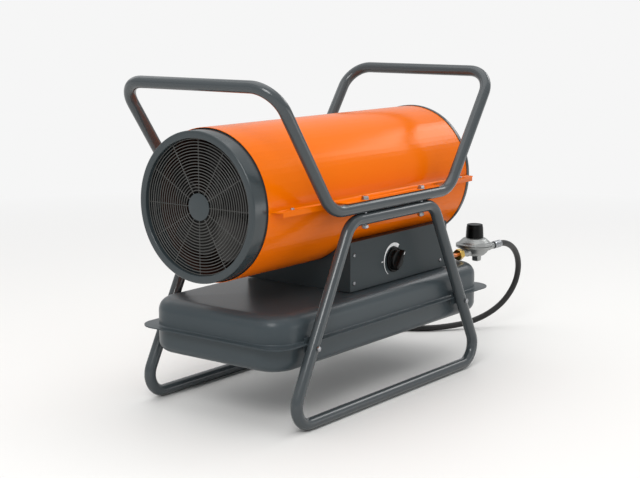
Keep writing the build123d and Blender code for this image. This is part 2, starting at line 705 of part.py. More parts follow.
cup_x = CHAMBER_FRONT - BURNER_X
with BuildPart() as burner_head:
    with BuildSketch(profile_plane(BURNER_X, 0, BARREL_Z)):
        with BuildLine():
            Polyline(
                (-BURNER_R, 0),
                (-BURNER_R, BURNER_R),
                (cup_x - BURNER_FLANGE - BURNER_CONE, BURNER_R),
                (cup_x - BURNER_FLANGE, BURNER_CUP_R),
                (cup_x - BURNER_FLANGE, BURNER_FLANGE_R),
                (cup_x, BURNER_FLANGE_R),
                (cup_x, BURNER_CUP_R),
                (cup_x + BURNER_CUP_LENGTH, BURNER_CUP_R),
                (cup_x + BURNER_CUP_LENGTH, BURNER_CUP_R - BURNER_FLANGE),
                (cup_x, BURNER_CUP_R - BURNER_FLANGE),
                (cup_x, 0),
                close=True,
            )
        make_face()
    revolve(axis=BARREL_AXIS)
    with BuildSketch(Plane.XY.offset(BARREL_Z - BURNER_BOSS)):
        with Locations((along(BURNER_X), 0)):
            Circle(BURNER_BOSS_R)
    extrude(amount=BURNER_BOSS)
finish(burner_head, "burner_head")

with BuildPart() as burner_pipe:
    with BuildLine():
        FilletPolyline(
            (along(BURNER_X), 0, BARREL_Z - BURNER_BOSS),
            (along(BURNER_X), 0, BURNER_PIPE_Z),
            (along(BURNER_X), VALVE_Y, BURNER_PIPE_Z),
            (along(KNOB_X - VALVE_LENGTH / 2), VALVE_Y, BURNER_PIPE_Z),
            radius=BURNER_PIPE_BEND,
        )
    with BuildSketch(Plane.XY.offset(BARREL_Z - BURNER_BOSS)):
        with Locations((along(BURNER_X), 0)):
            Circle(BURNER_PIPE_R)
    sweep()
finish(burner_pipe, "burner_pipe")

spreader_x = CHAMBER_FRONT + SHEET
with BuildPart() as flame_spreader:
    with BuildSketch(profile_plane(spreader_x + SPREADER_OFF, 0, BARREL_Z)):
        with BuildLine():
            Polyline(
                (0, 0),
                (0, SPREADER_FLAT_R),
                (-SPREADER_DISH, SPREADER_R),
                (SPREADER_SHEET - SPREADER_DISH, SPREADER_R),
                (SPREADER_SHEET, SPREADER_FLAT_R),
                (SPREADER_SHEET, 0),
                close=True,
            )
        make_face()
    revolve(axis=BARREL_AXIS)
    with BuildSketch(barrel_plane(spreader_x)):
        with PolarLocations(SPREADER_ROD_CIRCLE_R, 3, start_angle=90):
            Circle(SPREADER_ROD_R)
    extrude(amount=SPREADER_OFF - SPREADER_SHEET * 2)
finish(flame_spreader, "flame_spreader")


def probe(side, stem, sleeve):
    """A rod in a sleeve through the chamber's front wall: each radius, front and rear reach."""
    with BuildPart() as rod:
        for r, front, rear in (stem, sleeve):
            with BuildSketch(barrel_plane(CHAMBER_FRONT - front)):
                with Locations((side * PROBE_CIRCLE_R, 0)):
                    Circle(r)
            extrude(amount=front + rear)
    return rod


electrode_stem = (ELECTRODE_R, ELECTRODE_FRONT, ELECTRODE_REAR)
electrode_sleeve = (CERAMIC_R, ELECTRODE_SLEEVE_FRONT, ELECTRODE_SLEEVE_REAR)
finish(probe(-1, electrode_stem, electrode_sleeve), "igniter_electrode")

sensor_stem = (SENSOR_R, SENSOR_FRONT, SENSOR_REAR)
sensor_sleeve = (CERAMIC_R, SENSOR_SLEEVE_FRONT, SENSOR_SLEEVE_REAR)
finish(probe(1, sensor_stem, sensor_sleeve), "thermocouple")

thermostat_z = BARREL_Z + CHAMBER_R + SEAT
with BuildPart() as overheat_thermostat:
    with BuildSketch(Plane.XY.offset(thermostat_z)):
        with Locations((along(THERMOSTAT_X), 0)):
            SlotOverall(THERMOSTAT_EARS, THERMOSTAT_R)
    extrude(amount=SHEET)
    with BuildSketch(Plane.XY.offset(thermostat_z + SHEET)):
        with Locations((along(THERMOSTAT_X), 0)):
            Circle(THERMOSTAT_R)
    extrude(amount=THERMOSTAT_R)
finish(overheat_thermostat, "overheat_thermostat")

# ---- base tank -------------------------------------------------------------------------------
def tank_body(upper, inset):
    """The solid inside one stamped half's surface, moved in by the inset."""
    height = TANK_TOP - TANK_SEAM if upper else TANK_SEAM - TANK_BOTTOM
    round_r = TANK_TOP_ROUND if upper else TANK_BOTTOM_ROUND
    outward = 1 if upper else -1
    with BuildPart() as body:
        with BuildSketch(Plane.XY.offset(TANK_SEAM)):
            with Locations((along(TANK_X), 0)):
                RectangleRounded(
                    TANK_LENGTH - 2 * inset, TANK_WIDTH - 2 * inset, TANK_CORNER - inset
                )
        extrude(amount=outward * (height - inset))
        end_face = body.faces().sort_by(Axis.Z)[-1 if upper else 0]
        fillet(end_face.edges(), round_r - inset)
    return body.part


def tank_half(upper):
    """One stamped half: body, seam flange and the flange's notches at the legs."""
    with BuildPart() as half:
        add(tank_body(upper, 0))
        with BuildSketch(Plane.XY.offset(TANK_SEAM)):
            with Locations((along(TANK_X), 0)):
                RectangleRounded(
                    TANK_LENGTH + 2 * TANK_LIP, TANK_WIDTH + 2 * TANK_LIP, TANK_LIP_CORNER
                )
            for side_x in (-1, 1):
                for side_y in (-1, 1):
                    with Locations((along(side_x * leg_seam_x), side_y * NOTCH_Y)):
                        Rectangle(
                            LEG_NOTCH,
                            TANK_WIDTH,
                            align=(Align.CENTER, Align.MIN if side_y > 0 else Align.MAX),
                            mode=Mode.SUBTRACT,
                        )
        extrude(amount=TANK_SHEET if upper else -TANK_SHEET)
        add(tank_body(upper, TANK_SHEET), mode=Mode.SUBTRACT)
    return half


leg_seam_x = LEG_FOOT_LENGTH / 2 - (TANK_SEAM - FOOT_Z) * leg_lean
finish(tank_half(True), "tank_upper")
finish(tank_half(False), "tank_lower")

with BuildPart() as leg_brackets:
    for side_x in (-1, 1):
        for side_y in (-1, 1):
            with Locations((along(side_x * leg_seam_x), side_y * NOTCH_Y, TANK_SEAM)):
                Box(
                    LEG_BRACKET_WIDTH,
                    LEG_BRACKET,
                    LEG_BRACKET_DROP,
                    align=(Align.CENTER, Align.MIN if side_y > 0 else Align.MAX, Align.MAX),
                )
                Box(
                    LEG_BRACKET_WIDTH,
                    LEG_BRACKET,
                    LEG_BRACKET_RISE,
                    align=(Align.CENTER, Align.MIN if side_y > 0 else Align.MAX, Align.MIN),
                )
            with Locations((along(side_x * leg_screw_x), side_y * NOTCH_Y, LEG_SCREW_Z)):
                Cylinder(
                    LEG_SCREW_R + HOLE_PLAY,
                    4 * LEG_BRACKET,
                    rotation=(90, 0, 0),
                    mode=Mode.SUBTRACT,
                )
finish(leg_brackets, "leg_brackets")

# each screw runs from its head outside the tube to its nut behind the bracket
leg_head_y = SIDE_Y + TUBE_R + SEAT
with BuildPart() as leg_screws:
    for side_x in (-1, 1):
        for side_y in (-1, 1):
            axis_plane = Plane(
                origin=(along(side_x * leg_screw_x), side_y * leg_head_y, LEG_SCREW_Z),
                x_dir=(1, 0, 0),
                z_dir=(0, side_y, 0),
            )
            with BuildSketch(axis_plane):
                RegularPolygon(LEG_SCREW_FLATS / 2, 6, major_radius=False)
            extrude(amount=LEG_SCREW_HEAD)
            with BuildSketch(axis_plane):
                Circle(LEG_SCREW_R)
            extrude(amount=-(leg_head_y - NOTCH_Y + LEG_SCREW_NUT))
            with BuildSketch(axis_plane.offset(NOTCH_Y - leg_head_y)):
                RegularPolygon(LEG_SCREW_FLATS / 2, 6, major_radius=False)
            extrude(amount=-LEG_SCREW_NUT)
finish(leg_screws, "leg_screws")

# ---- control box -----------------------------------------------------------------------------
def box_section(inset):
    """The box across the heater, hollowed on top to fit under the barrel."""
    front = Plane(
        origin=(along(BOX_FRONT + inset), 0, TANK_TOP), x_dir=(0, 1, 0), z_dir=(1, 0, 0)
    )
    with BuildSketch(front) as section:
        with Locations((0, inset)):
            Rectangle(
                BOX_WIDTH - 2 * inset,
                BOX_TOP - TANK_TOP - 2 * inset,
                align=(Align.CENTER, Align.MIN),
            )
        with Locations((0, BARREL_Z - TANK_TOP)):
            Circle(SHELL_R + BOX_GAP + inset, mode=Mode.SUBTRACT)
    return section.sketch


with BuildPart() as control_box:
    add(box_section(0))
    extrude(amount=BOX_LENGTH, dir=(1, 0, 0))
with BuildPart() as box_inside:
    add(box_section(SHEET))
    extrude(amount=BOX_LENGTH - 2 * SHEET, dir=(1, 0, 0))
box_middle = (BOX_FRONT + BOX_REAR) / 2
with control_box:
    add(box_inside.part, mode=Mode.SUBTRACT)
    # the open side keeps an edge all round, where the panel is screwed on
    with BuildSketch(profile_plane(box_middle, -BOX_SIDE, TANK_TOP)):
        with Locations((0, PANEL_RETURN)):
            Rectangle(
                BOX_LENGTH - 2 * PANEL_END_RETURN,
                BOX_TOP - TANK_TOP - 2 * PANEL_RETURN,
                align=(Align.CENTER, Align.MIN),
            )
    extrude(amount=-SHEET, mode=Mode.SUBTRACT)
    with Locations((along(BURNER_X), 0, BARREL_Z - SHELL_R - BOX_GAP)):
        Cylinder(BURNER_PIPE_R + BURNER_PIPE_PLAY, 10 * SHEET, mode=Mode.SUBTRACT)
    with Locations((along(BOX_REAR), GAS_Y, GAS_Z)):
        Cylinder(GROMMET_R - 2 * SHEET, 4 * SHEET, rotation=(0, 90, 0), mode=Mode.SUBTRACT)
    with Locations((along(BOX_REAR), GLAND_Y, GLAND_Z)):
        Cylinder(GLAND_R, 4 * SHEET, rotation=(0, 90, 0), mode=Mode.SUBTRACT)

panel_screw_places = [
    (along(x), z)
    for x in (BOX_FRONT + PANEL_SCREW_FRONT, BOX_REAR - PANEL_SCREW_REAR)
    for z in PANEL_SCREW_Z
]
with control_box:
    with Locations([(x, -BOX_SIDE, z) for x, z in panel_screw_places]):
        Cylinder(PANEL_SCREW_R, 4 * SHEET, rotation=(90, 0, 0), mode=Mode.SUBTRACT)
finish(control_box, "control_box")

with BuildPart() as control_panel:
    with BuildSketch(profile_plane(box_middle, PANEL_Y, (TANK_TOP + BOX_TOP) / 2)):
        RectangleRounded(BOX_LENGTH, BOX_TOP - TANK_TOP, PANEL_ROUND)
    extrude(amount=-SHEET)
    with Locations([(x, PANEL_Y, z) for x, z in panel_screw_places]):
        Cylinder(PANEL_SCREW_R + HOLE_PLAY, 4 * SHEET, rotation=(90, 0, 0), mode=Mode.SUBTRACT)
    with Locations((along(KNOB_X), PANEL_Y, KNOB_Z)):
        Cylinder(SPINDLE_R + SPINDLE_PLAY, 4 * SHEET, rotation=(90, 0, 0), mode=Mode.SUBTRACT)
finish(control_panel, "control_panel")

with BuildPart() as panel_screws:
    for x, z in panel_screw_places:
        head_plane = Plane(origin=(x, PANEL_Y, z), x_dir=(1, 0, 0), z_dir=(0, -1, 0))
        with BuildSketch(head_plane):
            Circle(PANEL_SCREW_HEAD_R)
        extrude(amount=PANEL_SCREW_HEAD, taper=HEAD_TAPER)
        with BuildSketch(head_plane):
            Circle(PANEL_SCREW_R)
        extrude(amount=-PANEL_SCREW_LENGTH)
finish(panel_screws, "panel_screws")

knob_plane = profile_plane(KNOB_X, PANEL_Y - KNOB_GAP, KNOB_Z)
with BuildPart() as control_knob:
    with BuildSketch(knob_plane):
        Circle(KNOB_R)
    extrude(amount=KNOB_SKIRT, taper=KNOB_SKIRT_TAPER)
    with BuildSketch(knob_plane.offset(KNOB_SKIRT)):
        Circle(KNOB_BODY_R)
    extrude(amount=KNOB_BODY - KNOB_SKIRT, taper=KNOB_SKIRT_TAPER)
    with BuildSketch(knob_plane.offset(KNOB_SKIRT)):
        SlotOverall(KNOB_GRIP_LENGTH, KNOB_GRIP, rotation=90 - KNOB_TURN)
    extrude(amount=KNOB_LENGTH - KNOB_SKIRT, taper=KNOB_GRIP_TAPER)
    with BuildSketch(knob_plane):
        Circle(SPINDLE_R)
    extrude(amount=KNOB_BORE, mode=Mode.SUBTRACT)
finish(control_knob, "control_knob")

spindle_end = PANEL_Y - KNOB_GAP - KNOB_BORE
with BuildPart() as valve_spindle:
    with BuildSketch(profile_plane(KNOB_X, spindle_end, KNOB_Z)):
        Circle(SPINDLE_R)
    extrude(amount=-(VALVE_FRONT + SPINDLE_IN_VALVE - spindle_end))
finish(valve_spindle, "valve_spindle")

valve_middle_z = (VALVE_BOTTOM + VALVE_TOP) / 2
with BuildPart() as gas_valve:
    with BuildSketch(profile_plane(KNOB_X, VALVE_FRONT, valve_middle_z)):
        RectangleRounded(VALVE_LENGTH, VALVE_TOP - VALVE_BOTTOM, VALVE_ROUND)
    extrude(amount=-VALVE_DEPTH)
    with BuildSketch(profile_plane(KNOB_X, VALVE_FRONT, KNOB_Z)):
        Circle(VALVE_COLLAR_R)
    extrude(amount=VALVE_COLLAR)
    with BuildSketch(profile_plane(KNOB_X, -BOX_SIDE, KNOB_Z)):
        Circle(SPINDLE_R + FIT)
    extrude(amount=-(VALVE_COLLAR + SPINDLE_IN_VALVE + SEAT), mode=Mode.SUBTRACT)
finish(gas_valve, "gas_valve")

box_floor = Plane.XY.offset(TANK_TOP + SHEET)
with BuildPart() as igniter_transformer:
    with BuildSketch(box_floor):
        with Locations((along(TRANSFORMER_X), TRANSFORMER_Y)):
            Rectangle(TRANSFORMER_LENGTH, TRANSFORMER_WIDTH)
    extrude(amount=TRANSFORMER_HEIGHT)
    with BuildSketch(box_floor):
        with Locations((along(TRANSFORMER_X), TRANSFORMER_Y)):
            Rectangle(TRANSFORMER_FOOT_LENGTH, TRANSFORMER_FOOT_WIDTH)
    extrude(amount=TRANSFORMER_FOOT)
    upright_edges = igniter_transformer.edges().filter_by(Axis.Z)
    chamfer(upright_edges.group_by(SortBy.LENGTH)[-1], TRANSFORMER_EDGE)
finish(igniter_transformer, "igniter_transformer")

with BuildPart() as terminal_block:
    with BuildSketch(box_floor):
        with Locations((along(TERMINAL_X), TERMINAL_Y)):
            Rectangle(TERMINALS * TERMINAL_PITCH, TERMINAL_BASE_WIDTH)
    extrude(amount=TERMINAL_BASE)
    with BuildSketch(box_floor):
        with Locations((along(TERMINAL_X), TERMINAL_Y)):
            with GridLocations(TERMINAL_PITCH, 0, TERMINALS, 1):
                Rectangle(TERMINAL_LENGTH, TERMINAL_WIDTH)
    extrude(amount=TERMINAL_HEIGHT)
finish(terminal_block, "terminal_block")

gland_axis = Axis((0, GLAND_Y, GLAND_Z), (1, 0, 0))
with BuildPart() as cable_gland:
    with BuildSketch(profile_plane(BOX_REAR, GLAND_Y, GLAND_Z)):
        with BuildLine():
            Polyline(
                (-GLAND_INSIDE, GLAND_BORE_R),
                (-GLAND_INSIDE, GLAND_R - HOLE_PLAY),
                (GLAND_OUTSIDE - GLAND_DOME, GLAND_R - HOLE_PLAY),
                (GLAND_OUTSIDE, GLAND_BORE_R + GLAND_DOME_WALL),
                (GLAND_OUTSIDE, GLAND_BORE_R),
                close=True,
            )
        make_face()
    revolve(axis=gland_axis)
    with BuildSketch(barrel_plane(BOX_REAR)):
        with Locations((GLAND_Y, GLAND_Z - BARREL_Z)):
            RegularPolygon(GLAND_FLATS / 2, 6, major_radius=False)
            Circle(GLAND_BORE_R, mode=Mode.SUBTRACT)
    extrude(amount=GLAND_HEX)
finish(cable_gland, "cable_gland")

# ---- gas line and regulator ------------------------------------------------------------------
def gas_plane(x):
    """The plane across the gas line at x."""
    return Plane(origin=(along(x), GAS_Y, GAS_Z), x_dir=(0, 1, 0), z_dir=(1, 0, 0))


pipe_start = KNOB_X + VALVE_LENGTH / 2
with BuildPart() as inlet_pipe:
    with BuildSketch(gas_plane(pipe_start)):
        Circle(GAS_PIPE_R)
    extrude(amount=UNION_X - pipe_start)
finish(inlet_pipe, "inlet_pipe")

with BuildPart() as pipe_grommet:
    with BuildSketch(profile_plane(BOX_REAR - SHEET / 2, GAS_Y, GAS_Z)):
        with BuildLine():
            Polyline(
                (-GROMMET_WIDTH / 2, GAS_PIPE_R + FIT),
                (-GROMMET_WIDTH / 2, GROMMET_R - SHEET),
                (-SHEET / 2, GROMMET_R),
                (-SHEET / 2, GROMMET_R - 2 * SHEET - FIT),
                (SHEET / 2, GROMMET_R - 2 * SHEET - FIT),
                (SHEET / 2, GROMMET_R),
                (GROMMET_WIDTH / 2, GROMMET_R - SHEET),
                (GROMMET_WIDTH / 2, GAS_PIPE_R + FIT),
                close=True,
            )
        make_face()
    revolve(axis=Axis((0, GAS_Y, GAS_Z), (1, 0, 0)))
finish(pipe_grommet, "pipe_grommet")

with BuildPart() as union_nut:
    with BuildSketch(gas_plane(UNION_X - UNION_LENGTH / 2)):
        RegularPolygon(UNION_FLATS / 2, 6, major_radius=False)
        Circle(GAS_PIPE_R + FIT, mode=Mode.SUBTRACT)
    extrude(amount=UNION_LENGTH)
    with BuildSketch(gas_plane(UNION_X)):
        Circle(STUB_R + FIT)
    extrude(amount=UNION_LENGTH, mode=Mode.SUBTRACT)
finish(union_nut, "union_nut")

regulator_axis = Axis((along(REG_X), GAS_Y, 0), (0, 0, 1))
gas_axis = Axis((0, GAS_Y, GAS_Z), (1, 0, 0))
with BuildPart() as regulator_body:
    with BuildSketch(profile_plane(REG_X, GAS_Y, GAS_Z)):
        with BuildLine():
            Polyline(
                (0, -REG_BOWL),
                (REG_FLOOR_R, -REG_BOWL),
                (REG_CHAMBER_R - REG_RIM, -REG_RIM),
                (REG_CHAMBER_R + REG_RIM, REG_RISE - 2 * REG_RIM),
                (REG_R, REG_RISE - REG_RIM - DIAPHRAGM / 2),
                (REG_R, REG_RISE - DIAPHRAGM / 2),
                (REG_CHAMBER_R, REG_RISE - DIAPHRAGM / 2),
                (REG_CHAMBER_R, REG_RISE - REG_CHAMBER),
                (0, REG_RISE - REG_CHAMBER),
                close=True,
            )
        make_face()
    revolve(axis=regulator_axis)
    with BuildSketch(gas_plane(UNION_X)):
        Circle(STUB_R)
    extrude(amount=REG_X - UNION_X - REG_FLOOR_R)
    with BuildSketch(profile_plane(0, GAS_Y, GAS_Z)):
        with BuildLine():
            Polyline(
                (REG_X + REG_FLOOR_R, 0),
                (REG_X + REG_FLOOR_R, NOZZLE_ROOT_R),
                (REG_X + REG_R, NOZZLE_ROOT_R),
                (NOZZLE_END, NOZZLE_R),
                (NOZZLE_END, 0),
                close=True,
            )
        make_face()
    revolve(axis=gas_axis)
    with BuildSketch(gas_plane(NOZZLE_HEX_X - NOZZLE_HEX / 2)):
        RegularPolygon(NOZZLE_HEX_FLATS / 2, 6, major_radius=False)
    extrude(amount=NOZZLE_HEX)
    with BuildSketch(Plane.XY.offset(GAS_Z - REG_BOSS_DROP)):
        with Locations((along(REG_BOSS_X), GAS_Y)):
            RectangleRounded(REG_BOSS, REG_BOSS, REG_BOSS_ROUND)
    extrude(amount=REG_BOSS_DROP)
finish(regulator_body, "regulator_body")

with BuildPart() as regulator_diaphragm:
    with BuildSketch(Plane.XY.offset(JOINT_Z - DIAPHRAGM / 2)):
        with Locations((along(REG_X), GAS_Y)):
            Circle(REG_R - REG_RIM / 2)
    extrude(amount=DIAPHRAGM)
finish(regulator_diaphragm, "regulator_diaphragm")

with BuildPart() as regulator_bonnet:
    with BuildSketch(profile_plane(REG_X, GAS_Y, JOINT_Z)):
        with BuildLine():
            Polyline(
                (REG_CHAMBER_R, DIAPHRAGM / 2),
                (REG_R, DIAPHRAGM / 2),
                (REG_R, DIAPHRAGM / 2 + REG_RIM),
                (REG_CHAMBER_R + REG_RIM, DIAPHRAGM / 2 + REG_RIM + BONNET_STEP),
                ((REG_CHAMBER_R + BONNET_NECK_R) / 2 + BONNET_WALL, BONNET_HEIGHT - BONNET_WALL),
                (BONNET_NECK_R + BONNET_WALL, BONNET_HEIGHT),
                (CAP_SCREW_R + FIT, BONNET_HEIGHT),
                (CAP_SCREW_R + FIT, BONNET_HEIGHT - 2 * BONNET_WALL),
                (BONNET_NECK_R, BONNET_HEIGHT - 2 * BONNET_WALL),
                (REG_CHAMBER_R, REG_RIM),
                close=True,
            )
        make_face()
    revolve(axis=regulator_axis)
finish(regulator_bonnet, "regulator_bonnet")

screw_bottom = BONNET_TOP - 2 * BONNET_WALL - CAP_SCREW_BELOW
with BuildPart() as adjusting_screw:
    with BuildSketch(Plane.XY.offset(screw_bottom)):
        with Locations((along(REG_X), GAS_Y)):
            Circle(CAP_SCREW_R)
    extrude(amount=CAP_Z + CAP_BORE - screw_bottom)
finish(adjusting_screw, "adjusting_screw")

with BuildPart() as adjusting_cap:
    with BuildSketch(profile_plane(REG_X, GAS_Y, CAP_Z)):
        with BuildLine():
            Polyline(
                (CAP_SCREW_R, 0),
                (CAP_R, 0),
                (CAP_TOP_R, CAP_HEIGHT - CAP_EDGE),
                (CAP_TOP_R - CAP_EDGE, CAP_HEIGHT),
                (0, CAP_HEIGHT),
                (0, CAP_BORE),
                (CAP_SCREW_R, CAP_BORE),
                close=True,
            )
        make_face()
    revolve(axis=regulator_axis)
finish(adjusting_cap, "adjusting_cap")

# ---- hose ------------------------------------------------------------------------------------
def ferrule(plane):
    """A crimped sleeve that starts at the plane and runs along its normal."""
    step = FERRULE_LENGTH / 6
    with BuildPart() as sleeve:
        with BuildSketch(Plane(origin=plane.origin, x_dir=plane.z_dir, z_dir=plane.x_dir)):
            with BuildLine():
                Polyline(
                    (0, 0),
                    (0, FERRULE_R),
                    (2 * step, FERRULE_R),
                    (2.5 * step, FERRULE_R - FERRULE_GROOVE),
                    (3 * step, FERRULE_R),
                    (4 * step, FERRULE_R),
                    (4.5 * step, FERRULE_R - FERRULE_GROOVE),
                    (5 * step, FERRULE_R),
                    (6 * step, FERRULE_R),
                    (6 * step, 0),
                    close=True,
                )
            make_face()
        revolve(axis=Axis(plane.origin, plane.z_dir))
    return sleeve


finish(ferrule(gas_plane(NOZZLE_END)), "hose_ferrule")

# the free stretch: out of the ferrule, down to the floor, round the far rear leg to the coil
HOSE_START = NOZZLE_END + FERRULE_LENGTH
COIL_START = COIL_X + COIL_R
hose_points = [
    (along(x), y, z)
    for x, y, z in (
        (HOSE_START, GAS_Y, GAS_Z),
        (632, GAS_Y, GAS_Z),
        (688, -100, 222),
        (723, -97, 167),
        (721, -90, 108),
        (682, -62, 52),
        (613, -17, 20),
        (573, 40, HOSE_R),
        (506, 91, HOSE_R),
        (474, 160, HOSE_R),
        (COIL_START, 230, HOSE_R),
        (COIL_START, COIL_Y - 2 * HOSE_R, HOSE_R),
    )
]


def bend_radii(points):
    """Each corner's radius, whose arc takes a share of the shorter of the two runs beside it."""
    radii = []
    for before, corner, after in zip(points, points[1:], points[2:]):
        first = Vector(*corner) - Vector(*before)
        second = Vector(*after) - Vector(*corner)
        half_turn = radians(first.get_angle(second)) / 2
        radii.append(HOSE_BEND_SHARE * min(first.length, second.length) / tan(half_turn))
    return radii


hose_radii = bend_radii(hose_points)
print("hose radii:", [round(r) for r in hose_radii])
with BuildPart() as hose_run:
    with BuildLine() as hose_line:
        FilletPolyline(*hose_points, radius=hose_radii)
    with BuildSketch(Plane(origin=hose_points[0], z_dir=(1, 0, 0))) as hose_section:
        RegularPolygon(HOSE_R, HOSE_SIDES)
    sweep()
hose_run_length = sum(edge.length for edge in hose_line.edges())
swept_volume = hose_section.sketch.area * hose_run_length
print("hose run length:", round(hose_run_length))
print("tube volume / section x length:", round(hose_run.part.volume / swept_volume, 4))
finish(hose_run, "hose_run")

connector_z = 2 * HOSE_R + CONNECTOR_FLATS / 2 + SEAT


def coil_place(turns):
    """Middle of the hose after so many turns: it spirals in, climbs a layer and spirals out."""
    r = COIL_R - COIL_STEP * min(turns, 2 * COIL_TURNS_IN - turns)
    climb_start = COIL_TURNS_IN - COIL_CLIMB / 2
    climb_end = climb_start + COIL_CLIMB
    climb = min(max((turns - climb_start) / COIL_CLIMB, 0), 1)
    z = HOSE_R + COIL_STEP * (1 - cos(pi * climb)) / 2
    last = min(max((turns - climb_end) / (COIL_TURNS - climb_end), 0), 1)
    z += (connector_z - HOSE_R - COIL_STEP) * (1 - cos(pi * last)) / 2
    angle = 2 * pi * turns
    return Vector(along(COIL_X) + r * cos(angle), COIL_Y + r * sin(angle), z)


def coil_way(turns):
    """Direction of the hose there, level at the ends of a climb and along +Y at both ends."""
    if turns in (0, COIL_TURNS):
        return Vector(0, 1, 0)
    return (coil_place(turns + 0.01) - coil_place(turns - 0.01)).normalized()


def biarc(start, start_way, end, end_way):
    """Two tangent arcs between two places with given directions."""
    across = end - start
    ways = start_way + end_way
    a = 2 * (1 - start_way.dot(end_way))
    b = across.dot(ways)
    reach = (sqrt(b * b + a * across.dot(across)) - b) / a
    middle = (start + start_way * reach + end - end_way * reach) / 2
    first = TangentArc(start, middle, tangent=start_way)
    TangentArc(middle, end, tangent=first % 1)


quarters = int(COIL_TURNS * 4)
lead = Vector(0, 2 * HOSE_R, 0)
with BuildPart() as hose_coil:
    with BuildLine() as coil_line:
        Line(coil_place(0) - lead, coil_place(0))
        for i in range(quarters):
            here = i / 4
            there = (i + 1) / 4
            biarc(coil_place(here), coil_way(here), coil_place(there), coil_way(there))
        Line(coil_place(COIL_TURNS), coil_place(COIL_TURNS) + lead)
    with BuildSketch(Plane(origin=coil_place(0) - lead, z_dir=(0, 1, 0))):
        RegularPolygon(HOSE_R, HOSE_SIDES)
    sweep()
coil_length = sum(edge.length for edge in coil_line.edges())
print("coil length:", round(coil_length), "hose length:", round(coil_length + hose_run_length))
finish(hose_coil, "hose_coil")

samples = int(coil_length / 3)
coil_wire = coil_line.wires()[0]
coil_points = [coil_wire.position_at(i / samples) for i in range(samples + 1)]
own_stretch = int(4 * HOSE_R / 3) + 1
coil_gap = min(
    (coil_points[i] - coil_points[j]).length - 2 * HOSE_R
    for i in range(samples + 1)
    for j in range(i + own_stretch, samples + 1)
)
print("least gap of the coil to itself:", round(coil_gap, 2))

coil_end = coil_place(COIL_TURNS) + lead
end_plane = Plane(origin=coil_end, x_dir=(1, 0, 0), z_dir=(0, 1, 0))
finish(ferrule(end_plane), "connector_ferrule")

nut_plane = end_plane.offset(FERRULE_LENGTH)
with BuildPart() as cylinder_connector:
    with BuildSketch(nut_plane):
        RegularPolygon(CONNECTOR_FLATS / 2, 6, major_radius=False)
    extrude(amount=CONNECTOR_LENGTH)
    with BuildSketch(nut_plane.offset(CONNECTOR_LENGTH - CONNECTOR_DEPTH)):
        Circle(CONNECTOR_BORE_R)
    extrude(amount=CONNECTOR_DEPTH, mode=Mode.SUBTRACT)
finish(cylinder_connector, "cylinder_connector")
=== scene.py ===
"""Looks of a forced air gas heater: two enamelled half shells with a guarded fan in a bent tube
frame, over a stamped base tank, with a control box, a gas regulator and its rubber hose.
"""

import json
from math import cos, pi, radians, sin, tau

import bmesh
import bpy
from bpy.props import FloatProperty, FloatVectorProperty, IntProperty, PointerProperty
from mathutils import Matrix, Vector


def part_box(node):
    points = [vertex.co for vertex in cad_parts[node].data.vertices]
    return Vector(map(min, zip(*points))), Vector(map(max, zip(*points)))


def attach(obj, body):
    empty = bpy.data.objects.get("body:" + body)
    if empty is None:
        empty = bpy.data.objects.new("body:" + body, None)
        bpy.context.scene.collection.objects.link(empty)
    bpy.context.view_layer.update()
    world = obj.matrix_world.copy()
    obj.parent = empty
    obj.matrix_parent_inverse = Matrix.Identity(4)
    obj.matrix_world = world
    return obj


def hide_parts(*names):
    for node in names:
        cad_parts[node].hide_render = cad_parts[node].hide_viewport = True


bl_info = {
    "name": "Forced Air Heater",
    "version": (1, 0, 0),
    "blender": (4, 5, 0),
    "location": "View3D > Sidebar > Heater",
    "description": "Builds the visible pieces and finishes of a portable gas heater",
    "category": "Object",
}

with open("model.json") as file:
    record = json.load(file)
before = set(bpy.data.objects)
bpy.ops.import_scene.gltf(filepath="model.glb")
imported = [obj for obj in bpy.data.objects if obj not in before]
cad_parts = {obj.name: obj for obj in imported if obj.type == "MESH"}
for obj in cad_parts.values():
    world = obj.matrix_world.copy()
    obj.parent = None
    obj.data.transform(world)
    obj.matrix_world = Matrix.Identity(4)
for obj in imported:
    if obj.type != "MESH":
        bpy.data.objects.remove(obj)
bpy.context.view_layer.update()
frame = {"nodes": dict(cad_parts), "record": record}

MIDDLE_X = -0.07025             # middle of the tube frame; other x are counted from here
BARREL = Vector((0, 0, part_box("upper_shell")[0].z))
SHELL_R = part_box("upper_shell")[1].z - BARREL.z
MOUTH_R = 0.1365                # opening of the intake collar
SIDE_Y = 0.200                  # middle of the tubes on either side
RAIL_Z = 0.428                  # middle of the carrying frame's side rails
KNOB_X, KNOB_Z = 0.086, 0.283
GAS_Y, GAS_Z = -0.126, 0.2475   # the gas line, along X
HOSE_X = 0.578                  # where the hose leaves its ferrule

X_WAY, Y_WAY, Z_WAY = Vector((1, 0, 0)), Vector((0, 1, 0)), Vector((0, 0, 1))


def linear(text):
    """An sRGB hex colour as linear red, green, blue and alpha."""
    parts = [int(text[i : i + 2], 16) / 255 for i in (1, 3, 5)]
    return (*(p / 12.92 if p <= 0.04045 else ((p + 0.055) / 1.055) ** 2.4 for p in parts), 1.0)


def size(label, about, value):
    """A length that a user may change."""
    return FloatProperty(name=label, description=about, default=value, min=0.0001, unit="LENGTH")


def count(label, about, value, least):
    """A number of like things that a user may change."""
    return IntProperty(name=label, description=about, default=value, min=least)


def colour(label, about, text):
    """A colour that a user may change."""
    return FloatVectorProperty(
        name=label, description=about, default=linear(text), size=4, min=0, max=1, subtype="COLOR"
    )


